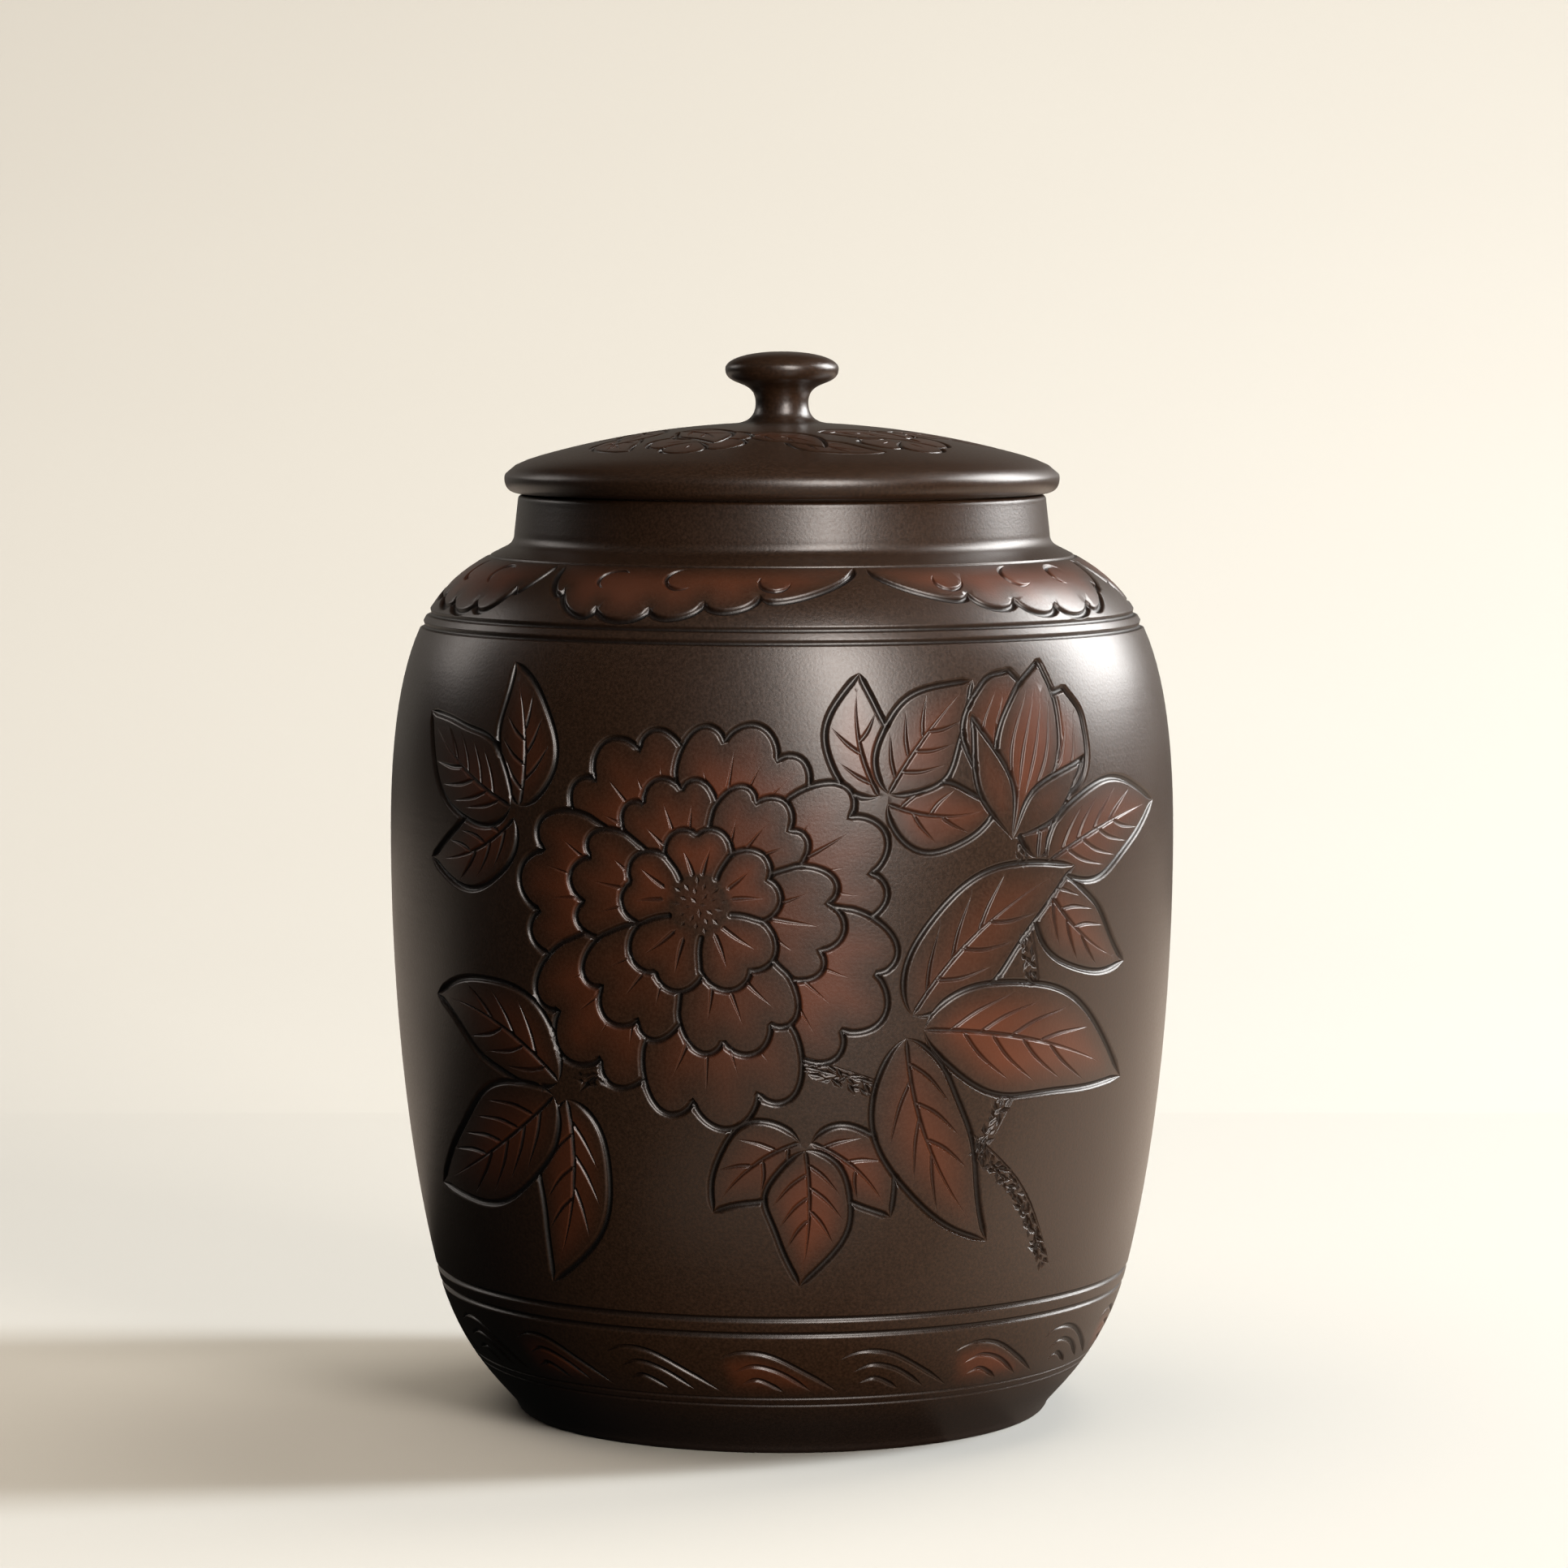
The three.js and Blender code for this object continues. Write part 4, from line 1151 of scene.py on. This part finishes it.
def clay():
    """Dark unglazed clay, burnished to a satin, with a fine grain, reddened carving, and painted shade in
    the cuts and round the foot.
    """
    shader = Shader("burnished_clay")
    place = shader.node("TexCoord").outputs["Object"]
    grain = shader.noise(place, GRAIN_SCALE)
    cloud = shader.noise(place, CLOUD_SCALE)
    rings = shader.node("Mapping", {"Vector": place, "Scale": RING_SCALE}).outputs[0]
    rings = shader.noise(rings, 1)
    tint, raw, cut = [shader.attribute(name) for name in ("tint", "raw", "cut")]
    height = shader.node("SeparateXYZ", {"Vector": place}).outputs["Z"]
    foot_shade = shader.spread(height, *FOOT_SHADE_HEIGHTS, 1.0, 0.0)
    base = shader.mixed(shader.spread(grain, *SPECKS), CLAY_DARK, CLAY_LIGHT)
    redness = shader.maths("MULTIPLY", tint, shader.spread(cloud, *RED_CLOUDS))
    base = shader.mixed(redness, base, CLAY_RED)
    # Painted shade: the clay is darkened towards near black low on the wall, round the foot
    base = shader.mixed(shader.maths("MULTIPLY", foot_shade, FOOT_SHADE_SHARE), base, PAINTED_SHADE_CLAY)
    # Painted shade: deeper cuts are darkened towards near black
    base = shader.mixed(shader.spread(cut, *CUT_SHADE), base, PAINTED_SHADE_CLAY)
    base = shader.mixed(shader.maths("MULTIPLY", raw, RAW_SHARE), base, CLAY_RAW)
    rough = shader.spread(shader.maths("ADD", grain, cloud), *BURNISH)
    for value, more in ((raw, RAW_ROUGH), (cut, CUT_ROUGH), (foot_shade, FOOT_SHADE_ROUGH)):
        rough = shader.maths("ADD", rough, shader.maths("MULTIPLY", value, more))
    grain_relief = shader.maths("MULTIPLY", grain, GRAIN_RELIEF)
    ring_relief = shader.maths("MULTIPLY", rings, RING_RELIEF)
    relief = shader.maths("ADD", grain_relief, ring_relief)
    bump = shader.node("Bump", {"Height": relief, "Strength": BUMP_STRENGTH, "Distance": BUMP_HEIGHT})
    shader.feed(shader.surface, {
        "Base Color": base,
        "Roughness": rough,
        "Normal": bump.outputs[0],
        "Specular IOR Level": CLAY_SPECULAR,
    })
    return shader.material


PAPER = (0.48, 0.472, 0.450, 1)
PAPER_SHADE = (0.467, 0.457, 0.434, 1)
PAPER_CLOUD_SCALE = 2.2
PAPER_CLOUD_DETAIL = 2
PAPER_ROUGH = 0.9
PAPER_SPECULAR = 0.1


def paper(name):
    """Warm pale paper, slightly uneven."""
    shader = Shader(name)
    place = shader.node("TexCoord").outputs["Object"]
    cloud = shader.noise(place, PAPER_CLOUD_SCALE, PAPER_CLOUD_DETAIL)
    shader.feed(shader.surface, {
        "Base Color": shader.mixed(cloud, PAPER_SHADE, PAPER),
        "Roughness": PAPER_ROUGH,
        "Specular IOR Level": PAPER_SPECULAR,
    })
    return shader.material


# Pieces

FRONT_SEED = 11
BACK_SEED = 23
COLLAR_GAP = 3.5
# The carved stretches of wall and lid, and how far in from a shape's outline its red is full
WALL_CARVED_FROM = 8
WALL_CARVED_BELOW_NECK = 1.6
WALL_TINT_SOFT = 11
LID_CARVED_IN_RIM = 0.3
LID_CARVED_OFF_KNOB = 0.5
LID_TINT_SOFT = 3
# The lid is bare below this distance back along its outline from the widest place
LID_RAW_FROM_RIM = 6
KNOB_TURN_STEPS = 96


def make_jar(material):
    """The carved wall, with the plain foot below it and the plain neck and inside above."""
    outline = jar_outline()
    neck = outline.index_at(LIP_RADIUS, LIP_HEIGHT - LIP_ROUND)
    foot = outline.index_at(FOOT_RADIUS + FOOT_DRAFT, FOOT_HEIGHT)
    ring = outline.index_at(FOOT_RADIUS - FOOT_EDGE, 0)
    wall = slice(foot, neck + 1)

    def along(height):
        return float(np.interp(height, outline.points[wall, 1], outline.along[wall]))

    turn = 2 * math.pi * BELLY_RADIUS
    draw = Drawing()
    lay(draw, spray(FRONT_SEED), 0, 1)
    lay(draw, spray(BACK_SEED), turn / 2, -1)
    collar(draw, along(NECK_LINE), along(NECK_LINE) - along(SHOULDER_LINES[1]) - COLLAR_GAP, turn)
    waves(draw, along(WAVE_LINES[1]) + WAVE_RISE, turn)
    lines = [(along(height), LINE_HALF, CUT_DEPTH) for height in HIP_LINES + SHOULDER_LINES]
    lines += [(along(height), FINE_LINE_HALF, CUT_DEPTH) for height in WAVE_LINES]
    lines += [(along(NECK_LINE), NECK_LINE_HALF, NECK_LINE_DEPTH)]
    low, high = along(WALL_CARVED_FROM), along(NECK_ROOT - WALL_CARVED_BELOW_NECK)
    lip_inside = outline.along[neck] + 2 * LIP_ROUND + NECK_WALL
    parts = [
        plain_part(outline, outline.along[0], low, raw_below=outline.along[ring]),
        carved_part(outline, BELLY_RADIUS, low, high, draw, lines, WALL_TINT_SOFT),
        plain_part(outline, high, outline.along[-1], raw_above=lip_inside),
    ]
    piece_of("carved_jar", parts, material, "jar", "jar_body")


def make_lid(material):
    """The carved dome, with the plain rim, flange and hollow below it and the socket above."""
    outline = lid_outline()
    radii = outline.points[:, 0]
    rim = int(np.argmax(radii))
    over = slice(rim, outline.index_at(KNOB_FOOT_RADIUS, LAND_HEIGHT) + 1)

    def along(radius):
        return np.interp(-np.asarray(radius), -radii[over], outline.along[over])

    def plan(points):
        reach = np.hypot(*points.T)
        angle = np.unwrap(np.arctan2(points[:, 0], -points[:, 1]))
        return np.column_stack([angle * RIM_RADIUS, along(reach)])

    draw = Drawing()
    wreath(draw, plan)
    low = float(along(RIM_RADIUS - LID_CARVED_IN_RIM))
    high = float(along(KNOB_FOOT_RADIUS + LID_CARVED_OFF_KNOB))
    parts = [
        plain_part(outline, outline.along[0], low, raw_below=outline.along[rim] - LID_RAW_FROM_RIM),
        carved_part(outline, RIM_RADIUS, low, high, draw, [], LID_TINT_SOFT),
        plain_part(outline, high, outline.along[-1]),
    ]
    piece_of("carved_lid", parts, material, "cover", "lid")


def make_knob(material):
    """The turned knob with its tenon."""
    outline = knob_outline()
    parts = [plain_part(outline, outline.along[0], outline.along[-1], KNOB_TURN_STEPS)]
    piece_of("turned_knob", parts, material, "cover", "lid_knob")


stoneware = clay()
make_jar(stoneware)
make_lid(stoneware)
make_knob(stoneware)

# Studio: a paper floor that curves up into a backdrop, soft lights and the camera

STAGE_HALF_WIDTH = 5
FLOOR_FRONT = -3
FLOOR_BACK = 0.5
COVE_RADIUS = 3
COVE_STEPS = 16
BACKDROP_TOP = 4.5


def paper_sheet(name, path, material):
    """A sheet as wide as the stage that follows a path seen from the side."""
    places = [(side * STAGE_HALF_WIDTH, y, z) for y, z in path for side in (-1, 1)]
    faces = [(2 * k, 2 * k + 1, 2 * k + 3, 2 * k + 2) for k in range(len(path) - 1)]
    mesh = bpy.data.meshes.new(name)
    mesh.from_pydata(places, [], faces)
    mesh.polygons.foreach_set("use_smooth", [True] * len(faces))
    mesh.materials.append(material)
    sheet = bpy.data.objects.new(name, mesh)
    bpy.context.scene.collection.objects.link(sheet)
    sheet.visible_glossy = False
    sheet.visible_diffuse = False


def make_backdrop():
    """Floor and backdrop. The clay mirrors only the lamps, so that it keeps its depth."""
    material = paper("studio_paper")
    paper_sheet("floor", [(FLOOR_FRONT, 0), (FLOOR_BACK, 0)], material)
    angles = np.linspace(0, math.pi / 2, COVE_STEPS + 1)
    cove = [(FLOOR_BACK + COVE_RADIUS * math.sin(a), COVE_RADIUS * (1 - math.cos(a))) for a in angles]
    paper_sheet("backdrop", cove + [(FLOOR_BACK + COVE_RADIUS, BACKDROP_TOP)], material)


KEY_COOL = (0.90, 0.96, 1.0)
PANEL_WHITE = (1.0, 0.99, 0.97)
TOP_WARM = (1.0, 0.88, 0.73)
STRIP_WHITE = (1.0, 0.92, 0.86)
AMBIENT_WHITE = (1.0, 0.92, 0.80)
FILL_WHITE = (1.0, 0.90, 0.78)
FLOOR_WARM = (1.0, 0.83, 0.68)
MIDDLE = (0, 0, 0.13)
# Lights that leave no highlight: name, place, target, size, power, colour
SHINING_LIGHTS = (
    ("key", (1.985, 0.17, 1.2), MIDDLE, (0.35, 1.4), 94, KEY_COOL),
    ("front_fill", (1.36, -1.74, 0.34), MIDDLE, (0.8, 0.5), 108, FILL_WHITE),
    ("top", (-0.85, 0.1, 2.3), (-0.3, 0.15, 0), (3.2, 2.0), 50, TOP_WARM),
    ("back_top", (1.0, 1.0, 2.6), (0.3, 2.2, 0.4), (1.4, 1.4), 54, AMBIENT_WHITE),
)
# Lights that give only highlights
GLINTING_LIGHTS = (
    ("front_strip", (0.66, -1.90, 1.22), MIDDLE, (0.72, 2.1), 80, STRIP_WHITE),
    ("key_panel", (1.67, 0.74, 1.03), MIDDLE, (1.15, 1.25), 78, PANEL_WHITE),
    ("left_panel", (-1.72, 1.0, 0.95), MIDDLE, (0.7, 0.8), 4.6, STRIP_WHITE),
    ("backdrop_glow", (0, 2.2, 0.6), MIDDLE, (4.5, 1.2), 4.0, AMBIENT_WHITE),
)
# The floor's glow grows in steps away from the jar: where each begins at the right of the axis
FLOOR_GLOW_STARTS = np.linspace(0.04, 0.2, 10)
FLOOR_GLOW_BEHIND = 0.4
FLOOR_GLOW_POWER = 0.42
FLOOR_GLOW_SIZE = (0.9, 1.1)
FLOOR_GLOW_LAYER = 0.0002
# Single glows of the floor: name, place, size, power
OTHER_FLOOR_GLOWS = (
    ("floor_glow_left", (-0.6, 0.8), (1, 1.2), 2.4),
    ("floor_glow_front", (0.22, -0.62), (0.7, 0.9), 0.9),
)


def area_light(name, place, target, size, power, colour, glints=True, shines=True):
    """A flat soft light, facing its target. It can be kept out of highlights, or give only those."""
    lamp = bpy.data.lights.new(name, "AREA")
    lamp.shape = "RECTANGLE"
    lamp.size, lamp.size_y = size
    lamp.energy = power
    lamp.color = colour
    light = bpy.data.objects.new(name, lamp)
    light.location = place
    light.rotation_euler = (Vector(target) - Vector(place)).to_track_quat("-Z", "Y").to_euler()
    light.visible_camera = False
    light.visible_glossy = glints
    light.visible_diffuse = shines
    bpy.context.scene.collection.objects.link(light)


def floor_glow(name, place, size, power, layer=1):
    """The lit floor as the clay mirrors it. Glows that overlap lie in layers, just above each other."""
    x, y = place
    area_light(name, (x, y, layer * FLOOR_GLOW_LAYER), (x, y, 1), size, power, FLOOR_WARM, shines=False)


ROOM_AMBIENT = 0.012
ROOM_SEEN = 0.8


def make_surroundings():
    """A pale room beyond the paper, which gives the jar hardly any light."""
    world = bpy.data.worlds.new("studio")
    world.use_nodes = True
    nodes, links = world.node_tree.nodes, world.node_tree.links
    seen = nodes.new("ShaderNodeLightPath").outputs["Is Camera Ray"]
    strength = nodes.new("ShaderNodeMapRange")
    strength.inputs["To Min"].default_value = ROOM_AMBIENT
    strength.inputs["To Max"].default_value = ROOM_SEEN
    links.new(seen, strength.inputs["Value"])
    background = nodes["Background"]
    background.inputs["Color"].default_value = (*AMBIENT_WHITE, 1)
    links.new(strength.outputs["Result"], background.inputs["Strength"])
    bpy.context.scene.world = world


def make_studio():
    """Paper, lights and surroundings."""
    make_backdrop()
    for light in SHINING_LIGHTS:
        area_light(*light, glints=False)
    for light in GLINTING_LIGHTS:
        area_light(*light, shines=False)
    for layer, start in enumerate(FLOOR_GLOW_STARTS, 1):
        place = (start + FLOOR_GLOW_SIZE[0] / 2, FLOOR_GLOW_BEHIND)
        floor_glow("floor_glow", place, FLOOR_GLOW_SIZE, FLOOR_GLOW_POWER, layer)
    for glow in OTHER_FLOOR_GLOWS:
        floor_glow(*glow)
    make_surroundings()


CAMERA_PLACE = (0.0005, -1.340, 0.2659)
CAMERA_PITCH = 4.76
CAMERA_LENS = 124.8
CAMERA_SENSOR = 36


def make_camera():
    """The photograph's view."""
    lens = bpy.data.cameras.new("camera")
    lens.sensor_width = CAMERA_SENSOR
    lens.lens = CAMERA_LENS
    camera = bpy.data.objects.new("camera", lens)
    camera.location = CAMERA_PLACE
    camera.rotation_euler = Euler((math.radians(90 - CAMERA_PITCH), 0, 0))
    bpy.context.scene.collection.objects.link(camera)
    bpy.context.scene.camera = camera


make_studio()
make_camera()
bpy.context.scene.view_settings.view_transform = "Standard"
